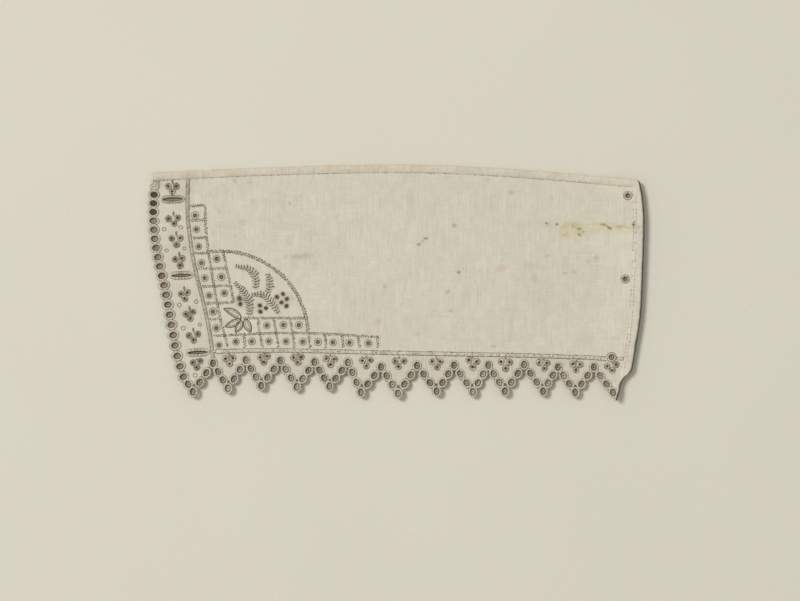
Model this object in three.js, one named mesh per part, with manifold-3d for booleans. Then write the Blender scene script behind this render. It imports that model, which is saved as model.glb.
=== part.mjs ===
// An embroidered cuff in white cut work, lying open on a flat surface.
//
// Millimetres, +Z up. X runs along the cuff towards the free hem, Y from the pointed edge
// towards the sleeve. The origin is on the surface, at the middle of the cuff's outline.
// Every piece is an outline in plan, cut out of a thin sheet that is bent the way the cloth
// lies: flat in the middle, and rising a little at the free hem and at the points.

import * as THREE from "three";
import { mergeVertices } from "three/addons/utils/BufferGeometryUtils.js";
import Module from "manifold-3d";

const wasm = await Module();
wasm.setup();

// Thicknesses and clearances

const CLOTH = 1.0; // the cotton
const FOLDED = 1.6; // the binding and the hem, where the cotton is doubled
const SEAM = 1.3; // the openwork seams
const RIM = 1.4; // the overcast rims
const RAISED = 0.5; // the stitching that stands on the cloth
const GAP = 0.3; // between pieces, in plan
const LAYER_GAP = 0.25; // between the cloth and what is raised on it

// How the cloth lies

const HEM_RISE = 3.0; // how far the free hem stands up
const HEM_RISE_FROM = 90; // X where it starts to rise
const POINT_RISE = 2.2; // how far the tips of the points stand up
const POINT_RISE_FROM = -36; // Y where they start to rise
const CURL = 1.5; // how the rise steepens towards the edge: 1 would be a straight slope
const RIGHT = 114; // X of the free hem
const FRONT = -54; // Y of the longest tip
const FAR = 130; // a distance past everything

// Outlines

// The sleeve edge is a shallow arch, which falls away from its crown on both sides
const CROWN = { x: 2, y: 54, reach: 110, fallLeft: 3.6, fallRight: 7.3, roundness: 1.65 };
const BINDING = { width: 3.5, left: -112.1, right: 111.5 };

// The band for the fastening: its scalloped side edge, and the seam that joins it on
const BAND_ROWS = [
  { y: 43.9, edge: -110.7, seam: -95.5 },
  { y: 32.2, edge: -111.3, seam: -95.7 },
  { y: 20.2, edge: -110.7, seam: -94.5 },
  { y: 7.5, edge: -108.4, seam: -92.5 },
  { y: -6.4, edge: -105.3, seam: -89.1 },
  { y: -19.8, edge: -103.0, seam: -86.1 },
  { y: -34.0, edge: -100.3, seam: -84.0 },
  { y: -43.5, edge: -97.4, seam: -83.6 },
];

// The free hem: its outer edge, and how deep the fold is at each height
const HEM_ROWS = [
  { y: 47.5, edge: 111.2, fold: 3.2 },
  { y: 40.0, edge: 112.9, fold: 3.8 },
  { y: 27.0, edge: 114.0, fold: 4.6 },
  { y: 5.0, edge: 113.4, fold: 4.6 },
  { y: -15.0, edge: 112.5, fold: 4.8 },
  { y: -29.0, edge: 110.3, fold: 4.1 },
  { y: -40.0, edge: 108.1, fold: 4.3 },
  { y: -44.6, edge: 104.3, fold: 1.2 },
  { y: -50.0, edge: 102.9, fold: 1.2 },
  { y: -54.2, edge: 101.5, fold: 0.9 },
];

// The seam above the pointed border
const LOWER_SEAM_ROWS = [
  { x: -84, y: -32.0 },
  { x: -56, y: -31.4 },
  { x: 2, y: -32.6 },
  { x: 58, y: -33.7 },
  { x: 104, y: -35.2 },
];
const SIDE_SEAM_WIDTH = 1.4;
const LOWER_SEAM_WIDTH = 1.6;

// The points, one row for each: its tip, and the valley on its right
const POINTS = [
  { tipX: -93.0, tipY: -50.4, valleyX: -83.8, valleyY: -37.3 },
  { tipX: -76.9, tipY: -48.8, valleyX: -68.8, valleyY: -35.9 },
  { tipX: -61.7, tipY: -47.6, valleyX: -53.0, valleyY: -36.1 },
  { tipX: -45.4, tipY: -48.1, valleyX: -37.3, valleyY: -36.8 },
  { tipX: -30.4, tipY: -47.8, valleyX: -21.9, valleyY: -37.0 },
  { tipX: -15.9, tipY: -50.6, valleyX: -6.7, valleyY: -39.1 },
  { tipX: 1.1, tipY: -51.1, valleyX: 9.8, valleyY: -38.4 },
  { tipX: 18.8, tipY: -50.1, valleyX: 26.8, valleyY: -38.2 },
  { tipX: 35.4, tipY: -50.4, valleyX: 42.5, valleyY: -38.2 },
  { tipX: 50.1, tipY: -50.1, valleyX: 59.0, valleyY: -37.9 },
  { tipX: 67.6, tipY: -50.1, valleyX: 74.5, valleyY: -39.1 },
  { tipX: 82.3, tipY: -50.6, valleyX: 91.0, valleyY: -39.1 },
  { tipX: 99.6, tipY: -50.7, valleyX: null, valleyY: null },
];

// Eyelets and fastenings

// Sizes across the edge and along it; the spacing down the side grows from one to the next
const SIDE_EYELET = { holeAcross: 3.3, holeAlong: 2.7, across: 5.5, overlap: 0.7 };
const SIDE_SPACING = { eyelets: 21, first: 3.84, growth: 0.061 };
const POINT_EYELET = { holeAcross: 2.5, holeAlong: 3.3, across: 4.2, overlap: 1.2 };
const TURN_EYELET = { holeAcross: 2.5, holeAlong: 3.3, across: 4.4, along: 4.7 }; // at a tip or a valley
const EYELETS_ON_A_SLOPE = 2; // between a valley and a tip
const RIM_SIDES = 8;
const HOLE_SIDES = 8;

const BUTTONHOLE = { length: 11, width: 4.2, slitLength: 9.2, slitWidth: 1.4, tilt: 2.5 };
const BUTTONHOLES = [
  { x: -102.4, y: 38.0 },
  { x: -98.3, y: 3.0 },
  { x: -90.9, y: -32.4 },
];
const STUD_EYELET = { across: 4.1, hole: 1.8 };
const STUD_EYELETS = [
  { x: 106.4, y: 39.6 },
  { x: 105.3, y: 1.4 },
];
const SEAM_EYELET = { x: 99.1, y: -34.5, across: 4.4, hole: 2.5 };

// Square-centred eyelets in the cloth: a row beside each seam, and two groups in the lattice
const SQUARE_HOLE = 1.5;
const BESIDE_SIDE_SEAM = { reach: 3.45, heights: [30.6, 24.2, 16.3, 8.7, 1.8, -6.2, -13.6, -21.2, -29.0] };
const ABOVE_LOWER_SEAM = {
  reach: 4.15,
  places: [-73.4, -66.1, -58.3, -50.4, -42.6, -35.7, -28.8, -21.2, -12.5],
};
const IN_THE_LATTICE = [
  { x: -82.2, y: 10.6 },
  { x: -80.1, y: 2.3 },
  { x: -78.7, y: -5.1 },
  { x: -59.2, y: -20.0 },
  { x: -51.6, y: -19.8 },
  { x: -44.5, y: -19.8 },
];

// Raised embroidery

// The lattice of chain stitch in the corner: two columns with rungs, two rails with posts,
// and the quarter round that closes it
const STRAND_WIDTH = 1.0;
const QUARTER_ROUND = { x: -80.5, y: -24.5, across: 40.2, up: 38.7, from: 0.02, to: 1.68 };
const INNER_COLUMN = [
  { x: -87.7, y: 35.4 },
  { x: -86.8, y: 19.3 },
  { x: -84.2, y: 2.3 },
  { x: -80.6, y: -16.6 },
  { x: -77.1, y: -29.6 },
];
const OUTER_COLUMN = [
  { x: -79.4, y: 14.2 },
  { x: -76.2, y: -0.5 },
  { x: -74.4, y: -9.6 },
];
const RUNGS = [
  { y: 35.2, to: "inner" },
  { y: 28.5, to: "inner" },
  { y: 20.4, to: "inner" },
  { y: 13.3, to: "inner" },
  { y: 6.2, to: "outer" },
  { y: -1.8, to: "outer" },
  { y: -9.5, to: "outer" },
  { y: -17.0, to: "inner" },
];
const UPPER_RAIL = { y: -16.6, from: -70.2, to: -41.3 };
const LOWER_RAIL = [
  { x: -83.7, y: -24.8 },
  { x: -62.4, y: -23.7 },
  { x: -39.4, y: -23.5 },
  { x: -7.6, y: -25.3 },
];
const POST_FOOT = -30.2; // Y where the posts end, above the seam
const POSTS = [
  { from: "lower", x: -69.8, lean: 0.6 },
  { from: "upper", x: -63.5, lean: 2.3 },
  { from: "upper", x: -56.0, lean: 2.1 },
  { from: "upper", x: -48.4, lean: 2.1 },
  { from: "lower", x: -40.1, lean: 0.9 },
  { from: "lower", x: -32.5, lean: 0.5 },
  { from: "lower", x: -24.7, lean: 0.7 },
  { from: "lower", x: -17.3, lean: 0.9 },
  { from: "lower", x: -8.6, lean: 0.6 },
];

// The spray inside the quarter round: fern fronds along their ribs, leaves round their stem
const FERNS = {
  fern_top: [
    { x: -73.0, y: 7.3, width: 1.4 },
    { x: -68.0, y: 6.2, width: 2.6 },
    { x: -64.6, y: 2.6, width: 3.6 },
    { x: -64.2, y: -2.8, width: 1.6 },
  ],
  fern_left: [
    { x: -73.6, y: -0.6, width: 1.4 },
    { x: -70.2, y: -4.1, width: 3.0 },
    { x: -67.4, y: -9.4, width: 4.1 },
    { x: -67.2, y: -15.0, width: 2.2 },
  ],
  fern_right: [
    { x: -58.7, y: 3.2, width: 1.6 },
    { x: -57.8, y: -0.5, width: 3.2 },
    { x: -58.7, y: -4.9, width: 1.8 },
  ],
  fern_low: [
    { x: -65.6, y: -5.6, width: 1.4 },
    { x: -60.6, y: -6.0, width: 3.0 },
    { x: -56.9, y: -9.8, width: 3.8 },
    { x: -53.9, y: -14.2, width: 1.8 },
  ],
};
const LEAVES = {
  leaf_upper: { fromX: -71.4, fromY: -16.4, tipX: -78.8, tipY: -12.4, width: 2.6 },
  leaf_lower: { fromX: -72.0, fromY: -17.3, tipX: -78.0, tipY: -20.3, width: 2.6 },
  leaf_middle: { fromX: -71.0, fromY: -18.9, tipX: -73.3, tipY: -22.8, width: 2.2 },
  leaf_inner: { fromX: -68.6, fromY: -18.0, tipX: -67.0, tipY: -22.4, width: 2.4 },
};
// Sections of a leaf from its stem to its tip, as shares of its length and its width
const LEAF_SECTIONS = [
  { along: 0, across: 0.25 },
  { along: 0.25, across: 0.8 },
  { along: 0.5, across: 1 },
  { along: 0.8, across: 0.7 },
  { along: 1, across: 0.15 },
];

// Straight stretches that stand in for each curved line
const STRETCHES = {
  sideSeam: 9,
  lowerSeam: 12,
  binding: 16,
  hem: 18,
  quarterRound: 12,
  innerColumn: 6,
  outerColumn: 3,
  lowerRail: 6,
  fern: 6,
  perTableRow: 8,
  hemBend: 3,
  pointBend: 2,
};

// Colours of the aged cotton and thread

const COTTON = new THREE.Color(0xcdc6b0);
const FOLDED_COTTON = new THREE.Color(0xcbc1a9);
const THREAD = new THREE.Color(0xb3a994);
const ROUGHNESS = 0.95;

// Lines of the construction

const at = (x, y) => new THREE.Vector2(x, y);

/** Evenly spaced numbers from one end to the other. */
function steps(from, to, count) {
  return Array.from({ length: count + 1 }, (_, i) => from + ((to - from) * i) / count);
}

/** Points along a smooth line through a few places. */
function through(rows, count) {
  return new THREE.SplineCurve(rows.map((row) => at(row.x, row.y))).getPoints(count);
}

/** A function that reads one column of a table at any place along another. */
function reading(rows, along, value) {
  const samples = through(
    rows.map((row) => ({ x: row[along], y: row[value] })),
    rows.length * STRETCHES.perTableRow,
  );
  const ordered = samples[0].x < samples[1].x ? samples : samples.reverse();
  return (place) => {
    const beyond = ordered.findIndex((sample) => sample.x > place);
    const next = beyond < 0 ? ordered.length - 1 : Math.max(beyond, 1);
    const [a, b] = [ordered[next - 1], ordered[next]];
    return a.y + ((b.y - a.y) * (place - a.x)) / (b.x - a.x);
  };
}

/** Y of the sleeve edge at x. */
function sleeveEdge(x) {
  const fall = x < CROWN.x ? CROWN.fallLeft : CROWN.fallRight;
  return CROWN.y - fall * Math.pow(Math.abs(x - CROWN.x) / CROWN.reach, CROWN.roundness);
}

const sideSeamAt = reading(BAND_ROWS, "y", "seam");
const lowerSeamAt = reading(LOWER_SEAM_ROWS, "x", "y");
const hemEdgeAt = reading(HEM_ROWS, "y", "edge");
const foldAt = reading(HEM_ROWS, "y", "fold");
const hemLineAt = (y) => hemEdgeAt(y) - foldAt(y);
const bindingLineAt = (x) => sleeveEdge(x) - BINDING.width;

const lastOf = (list) => list[list.length - 1];
const SEAM_LEFT = LOWER_SEAM_ROWS[0].x;
const SEAM_RIGHT = lastOf(LOWER_SEAM_ROWS).x;
const SEAM_FOOT = POINTS[0].valleyY + TURN_EYELET.along / 2 + GAP; // Y where the side seam ends
const HEM_HEAD = HEM_ROWS[0].y;
const HEM_FOOT = lastOf(HEM_ROWS).y;

const tips = POINTS.map(({ tipX, tipY }) => at(tipX, tipY));
const valleys = POINTS.slice(0, -1).map(({ valleyX, valleyY }) => at(valleyX, valleyY));

/** Height of the cloth's underside above the surface at a place. */
function lift(x, y) {
  const ease = (t) => Math.pow(THREE.MathUtils.clamp(t, 0, 1), CURL);
  const hem = HEM_RISE * ease((x - HEM_RISE_FROM) / (RIGHT - HEM_RISE_FROM));
  const points = POINT_RISE * ease((POINT_RISE_FROM - y) / (POINT_RISE_FROM - FRONT));
  return hem + points;
}

// Solids

/** A closed three.js geometry as a solid that can be cut and joined. */
function toSolid(geometry) {
  const bare = geometry.index ? geometry.toNonIndexed() : geometry.clone();
  bare.deleteAttribute("normal");
  bare.deleteAttribute("uv");
  const merged = mergeVertices(bare, 1e-4);
  return new wasm.Manifold(
    new wasm.Mesh({
      numProp: 3,
      vertProperties: new Float32Array(merged.attributes.position.array),
      triVerts: new Uint32Array(merged.index.array),
    }),
  );
}

/** A cut or joined solid as a three.js geometry. */
function toGeometry(solid) {
  const mesh = solid.getMesh();
  const geometry = new THREE.BufferGeometry();
  geometry.setAttribute("position", new THREE.BufferAttribute(mesh.vertProperties.slice(), 3));
  geometry.setIndex(new THREE.BufferAttribute(mesh.triVerts.slice(), 1));
  geometry.computeVertexNormals();
  return geometry;
}

const joined = (solids) => solids.reduce((whole, solid) => whole.add(solid));

const PUNCH_HEIGHT = 40;

/** An upright punch of the given outline, taller than everything. */
function punch(outline) {
  const shape = new THREE.Shape(outline);
  const geometry = new THREE.ExtrudeGeometry(shape, { depth: PUNCH_HEIGHT, bevelEnabled: false });
  geometry.translate(0, 0, -PUNCH_HEIGHT / 2);
  return toSolid(geometry);
}

/** All that lies left (-1) or right (1) of a line that runs from the sleeve edge to the points. */
function beside(line, side) {
  const [head, foot] = [line[0], lastOf(line)];
  return punch([at(side * FAR, FAR), at(head.x, FAR), ...line, at(foot.x, -FAR), at(side * FAR, -FAR)]);
}

/** All that lies under (-1) or over (1) a line that runs along the cuff. */
function beyond(line, side) {
  const [start, end] = [line[0], lastOf(line)];
  return punch([at(-FAR, side * FAR), at(-FAR, start.y), ...line, at(FAR, end.y), at(FAR, side * FAR)]);
}

// Places where the sheet bends: it is flat between them
const BENDS_X = [-FAR, ...steps(HEM_RISE_FROM, RIGHT, STRETCHES.hemBend), FAR];
const BENDS_Y = [-FAR / 2, ...steps(FRONT, POINT_RISE_FROM, STRETCHES.pointBend), FAR / 2];

/** A sheet as large as the whole cuff, bent the way the cloth lies. */
function lyingSheet(bottom, top) {
  const [columns, rows] = [BENDS_X.length - 1, BENDS_Y.length - 1];
  const box = new THREE.BoxGeometry(1, 1, 1, columns, rows, 1);
  const place = box.attributes.position;
  for (let i = 0; i < place.count; i++) {
    const x = BENDS_X[Math.round((place.getX(i) + 0.5) * columns)];
    const y = BENDS_Y[Math.round((place.getY(i) + 0.5) * rows)];
    const face = place.getZ(i) > 0 ? top : bottom;
    place.setXYZ(i, x, y, face + lift(x, y));
  }
  return toSolid(box);
}

const clothSheet = lyingSheet(0, CLOTH);
const foldedSheet = lyingSheet(0, FOLDED);
const seamSheet = lyingSheet(0, SEAM);
const rimSheet = lyingSheet(0, RIM);
const raisedSheet = lyingSheet(CLOTH + LAYER_GAP, CLOTH + LAYER_GAP + RAISED);

/** The outline of a ribbon that follows a line, with its own width at each place. */
function ribbon(line, widths) {
  const left = [];
  const right = [];
  line.forEach((point, i) => {
    const before = line[Math.max(0, i - 1)];
    const after = line[Math.min(line.length - 1, i + 1)];
    const across = at(before.y - after.y, after.x - before.x).normalize();
    left.push(point.clone().addScaledVector(across, widths[i] / 2));
    right.unshift(point.clone().addScaledVector(across, -widths[i] / 2));
  });
  return [...left, ...right];
}

/** The outline of a ribbon of one width. */
function evenRibbon(line, width) {
  return ribbon(line, new Array(line.length).fill(width));
}

/** The outline of an ellipse that is turned by an angle in radians. */
function ellipse(x, y, along, across, angle, sides) {
  const curve = new THREE.EllipseCurve(x, y, along / 2, across / 2, 0, 2 * Math.PI, false, angle);
  return curve.getPoints(sides).slice(0, sides);
}

/** The outline of a bar with round ends, tilted like the buttonholes. */
function roundedBar(place, length, width) {
  const tilt = THREE.MathUtils.degToRad(BUTTONHOLE.tilt);
  const end = (length - width) / 2;
  const half = [-90, -45, 0, 45, 90].map((degrees) => {
    const turn = THREE.MathUtils.degToRad(degrees);
    return at(end + (Math.cos(turn) * width) / 2, (Math.sin(turn) * width) / 2);
  });
  const whole = [...half, ...half.map((p) => at(-p.x, -p.y))];
  return whole.map((p) => p.rotateAround(at(0, 0), tilt).add(at(place.x, place.y)));
}

// Eyelets of the edging

/** One eyelet: its place, the direction of the edge there, and its sizes. */
function eyelet(place, direction, sizes) {
  return { x: place.x, y: place.y, angle: Math.atan2(direction.y, direction.x), ...sizes };
}

/** Eyelets evenly spaced between two places, without those at the places themselves. */
function eyeletsBetween(from, to, count) {
  const along = from.distanceTo(to) / (count + 1) + POINT_EYELET.overlap;
  const direction = to.clone().sub(from);
  const shares = steps(0, 1, count + 1).slice(1, -1);
  return shares.map((share) => eyelet(from.clone().lerp(to, share), direction, { ...POINT_EYELET, along }));
}

/** The eyelet at a tip or a valley. */
function turnEyelet(place) {
  return eyelet(place, at(0, 1), TURN_EYELET);
}

/** The eyelets down the side edge to the first tip, the first one worked shut. */
function sideEyelets() {
  const line = new THREE.SplineCurve(BAND_ROWS.map((row) => at(row.edge, row.y)));
  const reach = (i) => i * (SIDE_SPACING.first + (SIDE_SPACING.growth * i) / 2);
  const last = SIDE_SPACING.eyelets - 1;
  const down = steps(0, last, last).map((i) => {
    const share = reach(i) / reach(last);
    const along = SIDE_SPACING.first + SIDE_SPACING.growth * i + SIDE_EYELET.overlap;
    const sizes = { ...SIDE_EYELET, along, closed: i === 0 };
    return eyelet(line.getPointAt(share), line.getTangentAt(share), sizes);
  });
  const foot = at(lastOf(down).x, lastOf(down).y);
  return [...down, ...eyeletsBetween(foot, tips[0], 1), turnEyelet(tips[0])];
}

/** The eyelets of one point: down its left slope, its tip, up its right slope, its valley. */
function pointEyelets(tip, i) {
  const made = [];
  if (i > 0) made.push(...eyeletsBetween(valleys[i - 1], tip, EYELETS_ON_A_SLOPE), turnEyelet(tip));
  const valley = valleys[i];
  if (valley) made.push(...eyeletsBetween(tip, valley, EYELETS_ON_A_SLOPE), turnEyelet(valley));
  return made;
}

const sideChain = sideEyelets();
const pointChains = tips.map(pointEyelets);

/** The overcast rim of an eyelet, with room added round it where asked. */
function rimOf(e, extra = 0) {
  return punch(ellipse(e.x, e.y, e.along + 2 * extra, e.across + 2 * extra, e.angle, RIM_SIDES));
}

/** The hole of an eyelet. */
function holeOf(e) {
  return punch(ellipse(e.x, e.y, e.holeAlong, e.holeAcross, e.angle, HOLE_SIDES));
}

const edgingClearance = joined([...sideChain, ...pointChains.flat()].map((e) => rimOf(e, GAP)));

// Boundaries between the pieces of cloth

const seamHeights = steps(HEM_HEAD, SEAM_FOOT, STRETCHES.sideSeam);
const seamPlaces = steps(SEAM_LEFT, SEAM_RIGHT, STRETCHES.lowerSeam);
const bindingPlaces = steps(BINDING.left, BINDING.right, STRETCHES.binding);
const hemHeights = steps(HEM_HEAD, HEM_FOOT, STRETCHES.hem);

/** All that lies on one side of the side seam, clear of it. */
function besideSideSeam(side) {
  const clear = side * (SIDE_SEAM_WIDTH / 2 + GAP);
  return beside(seamHeights.map((y) => at(sideSeamAt(y) + clear, y)), side);
}

/** All that lies on one side of the lower seam, clear of it. */
function beyondLowerSeam(side) {
  const clear = side * (LOWER_SEAM_WIDTH / 2 + GAP);
  return beyond(seamPlaces.map((x) => at(x, lowerSeamAt(x) + clear)), side);
}

const insideHem = beside(hemHeights.map((y) => at(hemLineAt(y) - GAP, y)), -1);
const belowBinding = beyond(bindingPlaces.map((x) => at(x, bindingLineAt(x) - GAP)), -1);

// Fastenings, and the clearance that the cloth leaves round them

const roundFastenings = [...STUD_EYELETS.map((place) => ({ ...place, ...STUD_EYELET })), SEAM_EYELET];
const roundClearance = joined(
  roundFastenings.map(({ x, y, across }) => {
    return punch(ellipse(x, y, across + 2 * GAP, across + 2 * GAP, 0, RIM_SIDES));
  }),
);
const buttonholeClearance = joined(
  BUTTONHOLES.map((place) => {
    return punch(roundedBar(place, BUTTONHOLE.length + 2 * GAP, BUTTONHOLE.width + 2 * GAP));
  }),
);

/** A buttonhole: an overcast bar round a slit. */
function buttonhole(place) {
  const bar = punch(roundedBar(place, BUTTONHOLE.length, BUTTONHOLE.width));
  const slit = punch(roundedBar(place, BUTTONHOLE.slitLength, BUTTONHOLE.slitWidth));
  return bar.subtract(slit).intersect(rimSheet);
}

/** A round overcast eyelet. */
function roundEyelet({ x, y, across, hole }) {
  const rim = punch(ellipse(x, y, across, across, 0, RIM_SIDES));
  return rim.subtract(punch(ellipse(x, y, hole, hole, 0, HOLE_SIDES))).intersect(rimSheet);
}

// Cloth

/** The holes of the square-centred eyelets. */
function squareHoles() {
  const half = SQUARE_HOLE / 2;
  const corners = [at(-half, -half), at(half, -half), at(half, half), at(-half, half)];
  const places = [
    ...BESIDE_SIDE_SEAM.heights.map((y) => at(sideSeamAt(y) + BESIDE_SIDE_SEAM.reach, y)),
    ...ABOVE_LOWER_SEAM.places.map((x) => at(x, lowerSeamAt(x) + ABOVE_LOWER_SEAM.reach)),
    ...IN_THE_LATTICE.map(({ x, y }) => at(x, y)),
  ];
  return joined(places.map((place) => punch(corners.map((corner) => corner.clone().add(place)))));
}

/** The wide panel between the seams, the binding and the hem. */
function mainPanel() {
  return clothSheet
    .intersect(besideSideSeam(1))
    .intersect(beyondLowerSeam(1))
    .intersect(insideHem)
    .intersect(belowBinding)
    .subtract(roundClearance)
    .subtract(squareHoles());
}

// The share of a slope that lies before its lowest eyelet, seen from the valley
const SLOPE_SHARE = EYELETS_ON_A_SLOPE / (EYELETS_ON_A_SLOPE + 1);

/** The band from the side edge to the side seam, with the first point under it. */
function buttonBand() {
  const edge = sideChain.slice(0, -1).map((e) => at(e.x, e.y));
  const head = edge[0].clone().add(at(SIDE_EYELET.across / 2, 0));
  const lowest = valleys[0].clone().lerp(tips[0], SLOPE_SHARE);
  const outline = [at(head.x, FAR), head, ...edge, lowest, valleys[0], at(valleys[0].x, FAR)];
  return clothSheet
    .intersect(punch(outline))
    .intersect(besideSideSeam(-1))
    .intersect(belowBinding)
    .subtract(edgingClearance)
    .subtract(buttonholeClearance);
}

/** The border with its row of points, below the lower seam. */
function pointedBorder() {
  const zigzag = tips.slice(1).flatMap((tip, i) => {
    const [left, right] = [valleys[i], valleys[i + 1]];
    const down = [left, left.clone().lerp(tip, SLOPE_SHARE)];
    return right ? [...down, right.clone().lerp(tip, SLOPE_SHARE)] : down;
  });
  const outline = [at(valleys[0].x, 0), ...zigzag, at(FAR, lastOf(tips).y), at(FAR, 0)];
  return clothSheet
    .intersect(punch(outline))
    .intersect(besideSideSeam(1))
    .intersect(beyondLowerSeam(-1))
    .intersect(insideHem)
    .subtract(edgingClearance)
    .subtract(roundClearance);
}

/** The folded binding along the sleeve edge. */
function topBinding() {
  const upper = bindingPlaces.map((x) => at(x, sleeveEdge(x)));
  const lower = bindingPlaces.toReversed().map((x) => at(x, bindingLineAt(x)));
  return foldedSheet.intersect(punch([...upper, ...lower]));
}

/** The folded hem down the free end, which runs out along the last point. */
function rightHem() {
  const outer = hemHeights.map((y) => at(hemEdgeAt(y), y));
  const inner = hemHeights.toReversed().map((y) => at(hemLineAt(y), y));
  return foldedSheet
    .intersect(punch([...outer, ...inner]))
    .intersect(belowBinding)
    .subtract(edgingClearance);
}

// Seams

/** The openwork seam that joins the band on. */
function sideSeam() {
  const line = seamHeights.map((y) => at(sideSeamAt(y), y));
  return seamSheet.intersect(punch(evenRibbon(line, SIDE_SEAM_WIDTH))).intersect(belowBinding);
}

/** A part of the openwork seam above the border, from one place along it to another. */
function lowerSeam(from, to) {
  const places = [from, ...seamPlaces.filter((x) => x > from && x < to), to];
  const line = places.map((x) => at(x, lowerSeamAt(x)));
  return seamSheet.intersect(punch(evenRibbon(line, LOWER_SEAM_WIDTH))).subtract(roundClearance);
}

// Overcast edging

/** A run of eyelets worked into one edge, clear of the last eyelet of the run before it. */
function edging(eyelets, before) {
  let solid = joined(eyelets.map((e) => rimOf(e)));
  if (before) solid = solid.subtract(rimOf(before, GAP));
  for (const e of eyelets) if (!e.closed) solid = solid.subtract(holeOf(e));
  return solid.intersect(rimSheet);
}

// The spray and the lattice

/** The outline of a fern frond, with room added round it where asked. */
function frond(rib, extra = 0) {
  const widths = through(rib.map(({ width }, i) => ({ x: i, y: width })), STRETCHES.fern);
  return ribbon(through(rib, STRETCHES.fern), widths.map(({ y }) => y + 2 * extra));
}

/** The outline of a leaf, narrow at both ends, with room added round it where asked. */
function leafOutline({ fromX, fromY, tipX, tipY, width }, extra = 0) {
  const line = LEAF_SECTIONS.map(({ along }) => at(fromX, fromY).lerp(at(tipX, tipY), along));
  return ribbon(line, LEAF_SECTIONS.map(({ across }) => across * width + 2 * extra));
}

/** The lines that the lattice's strands follow. */
function latticeLines() {
  const { x, y, across, up, from, to } = QUARTER_ROUND;
  const columns = {
    inner: reading(INNER_COLUMN, "y", "x"),
    outer: reading(OUTER_COLUMN, "y", "x"),
  };
  const rails = { upper: () => UPPER_RAIL.y, lower: reading(LOWER_RAIL, "x", "y") };
  const overrun = STRAND_WIDTH / 2;
  const rungs = RUNGS.map((rung) => [
    at(sideSeamAt(rung.y) + SIDE_SEAM_WIDTH / 2 + 2 * GAP, rung.y),
    at(columns[rung.to](rung.y) + overrun, rung.y),
  ]);
  const posts = POSTS.map((post) => [
    at(post.x, rails[post.from](post.x) + overrun),
    at(post.x + post.lean, POST_FOOT),
  ]);
  return [
    new THREE.EllipseCurve(x, y, across, up, from, to).getPoints(STRETCHES.quarterRound),
    [at(columns.inner(y + up), y + up), at(x, y + up)],
    through(INNER_COLUMN, STRETCHES.innerColumn),
    through(OUTER_COLUMN, STRETCHES.outerColumn),
    through(LOWER_RAIL, STRETCHES.lowerRail),
    [at(UPPER_RAIL.from, UPPER_RAIL.y), at(UPPER_RAIL.to, UPPER_RAIL.y)],
    ...rungs,
    ...posts,
  ];
}

/** The chain-stitched lattice that fills the corner, kept clear of the spray. */
function cornerLattice() {
  const spray = joined([
    ...Object.values(FERNS).map((rib) => punch(frond(rib, GAP))),
    ...Object.values(LEAVES).map((leaf) => punch(leafOutline(leaf, GAP))),
  ]);
  const strands = latticeLines().map((line) => punch(evenRibbon(line, STRAND_WIDTH)));
  return joined(strands).subtract(spray).intersect(raisedSheet);
}

// The assembly

const cuff = new THREE.Group();

/** Adds one piece as a named mesh. */
function piece(name, solid, color) {
  const material = new THREE.MeshStandardMaterial({ color, roughness: ROUGHNESS, metalness: 0 });
  const mesh = new THREE.Mesh(toGeometry(solid), material);
  mesh.name = name;
  cuff.add(mesh);
}

piece("main_panel", mainPanel(), COTTON);
piece("button_band", buttonBand(), COTTON);
piece("pointed_border", pointedBorder(), COTTON);
piece("top_binding", topBinding(), FOLDED_COTTON);
piece("right_hem", rightHem(), FOLDED_COTTON);

piece("side_seam", sideSeam(), THREAD);
piece("lower_seam", lowerSeam(SEAM_LEFT + SIDE_SEAM_WIDTH, SEAM_EYELET.x), THREAD);
piece("lower_seam_end", lowerSeam(SEAM_EYELET.x, hemLineAt(SEAM_EYELET.y) - 2 * GAP), THREAD);

piece("edging_side", edging(sideChain, null), THREAD);
pointChains.forEach((chain, i) => {
  const before = i > 0 ? pointChains[i - 1] : sideChain;
  const name = `edging_point_${String(i + 1).padStart(2, "0")}`;
  piece(name, edging(chain, lastOf(before)), THREAD);
});

BUTTONHOLES.forEach((place, i) => piece(`buttonhole_${i + 1}`, buttonhole(place), THREAD));
const roundNames = ["stud_eyelet_1", "stud_eyelet_2", "seam_eyelet"];
roundFastenings.forEach((fastening, i) => piece(roundNames[i], roundEyelet(fastening), THREAD));

piece("corner_lattice", cornerLattice(), THREAD);
for (const [name, rib] of Object.entries(FERNS)) {
  piece(name, punch(frond(rib)).intersect(raisedSheet), THREAD);
}
for (const [name, leaf] of Object.entries(LEAVES)) {
  piece(name, punch(leafOutline(leaf)).intersect(raisedSheet), THREAD);
}

export default cuff;
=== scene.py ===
"""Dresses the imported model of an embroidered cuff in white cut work.

The cloth takes its outlines from the fixed frame, and every stitch lies where the frame has its
seam, rim or hole. Lengths are millimetres here, and become metres where a mesh is made. X runs
along the cuff towards the free hem, Y from the pointed edge towards the sleeve.
"""

import logging
import math
from dataclasses import dataclass, field, replace
from enum import Enum
from typing import Iterable, Sequence

import bpy
import numpy as np
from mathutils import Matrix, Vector
from mathutils.geometry import delaunay_2d_cdt
from mathutils.kdtree import KDTree


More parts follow.
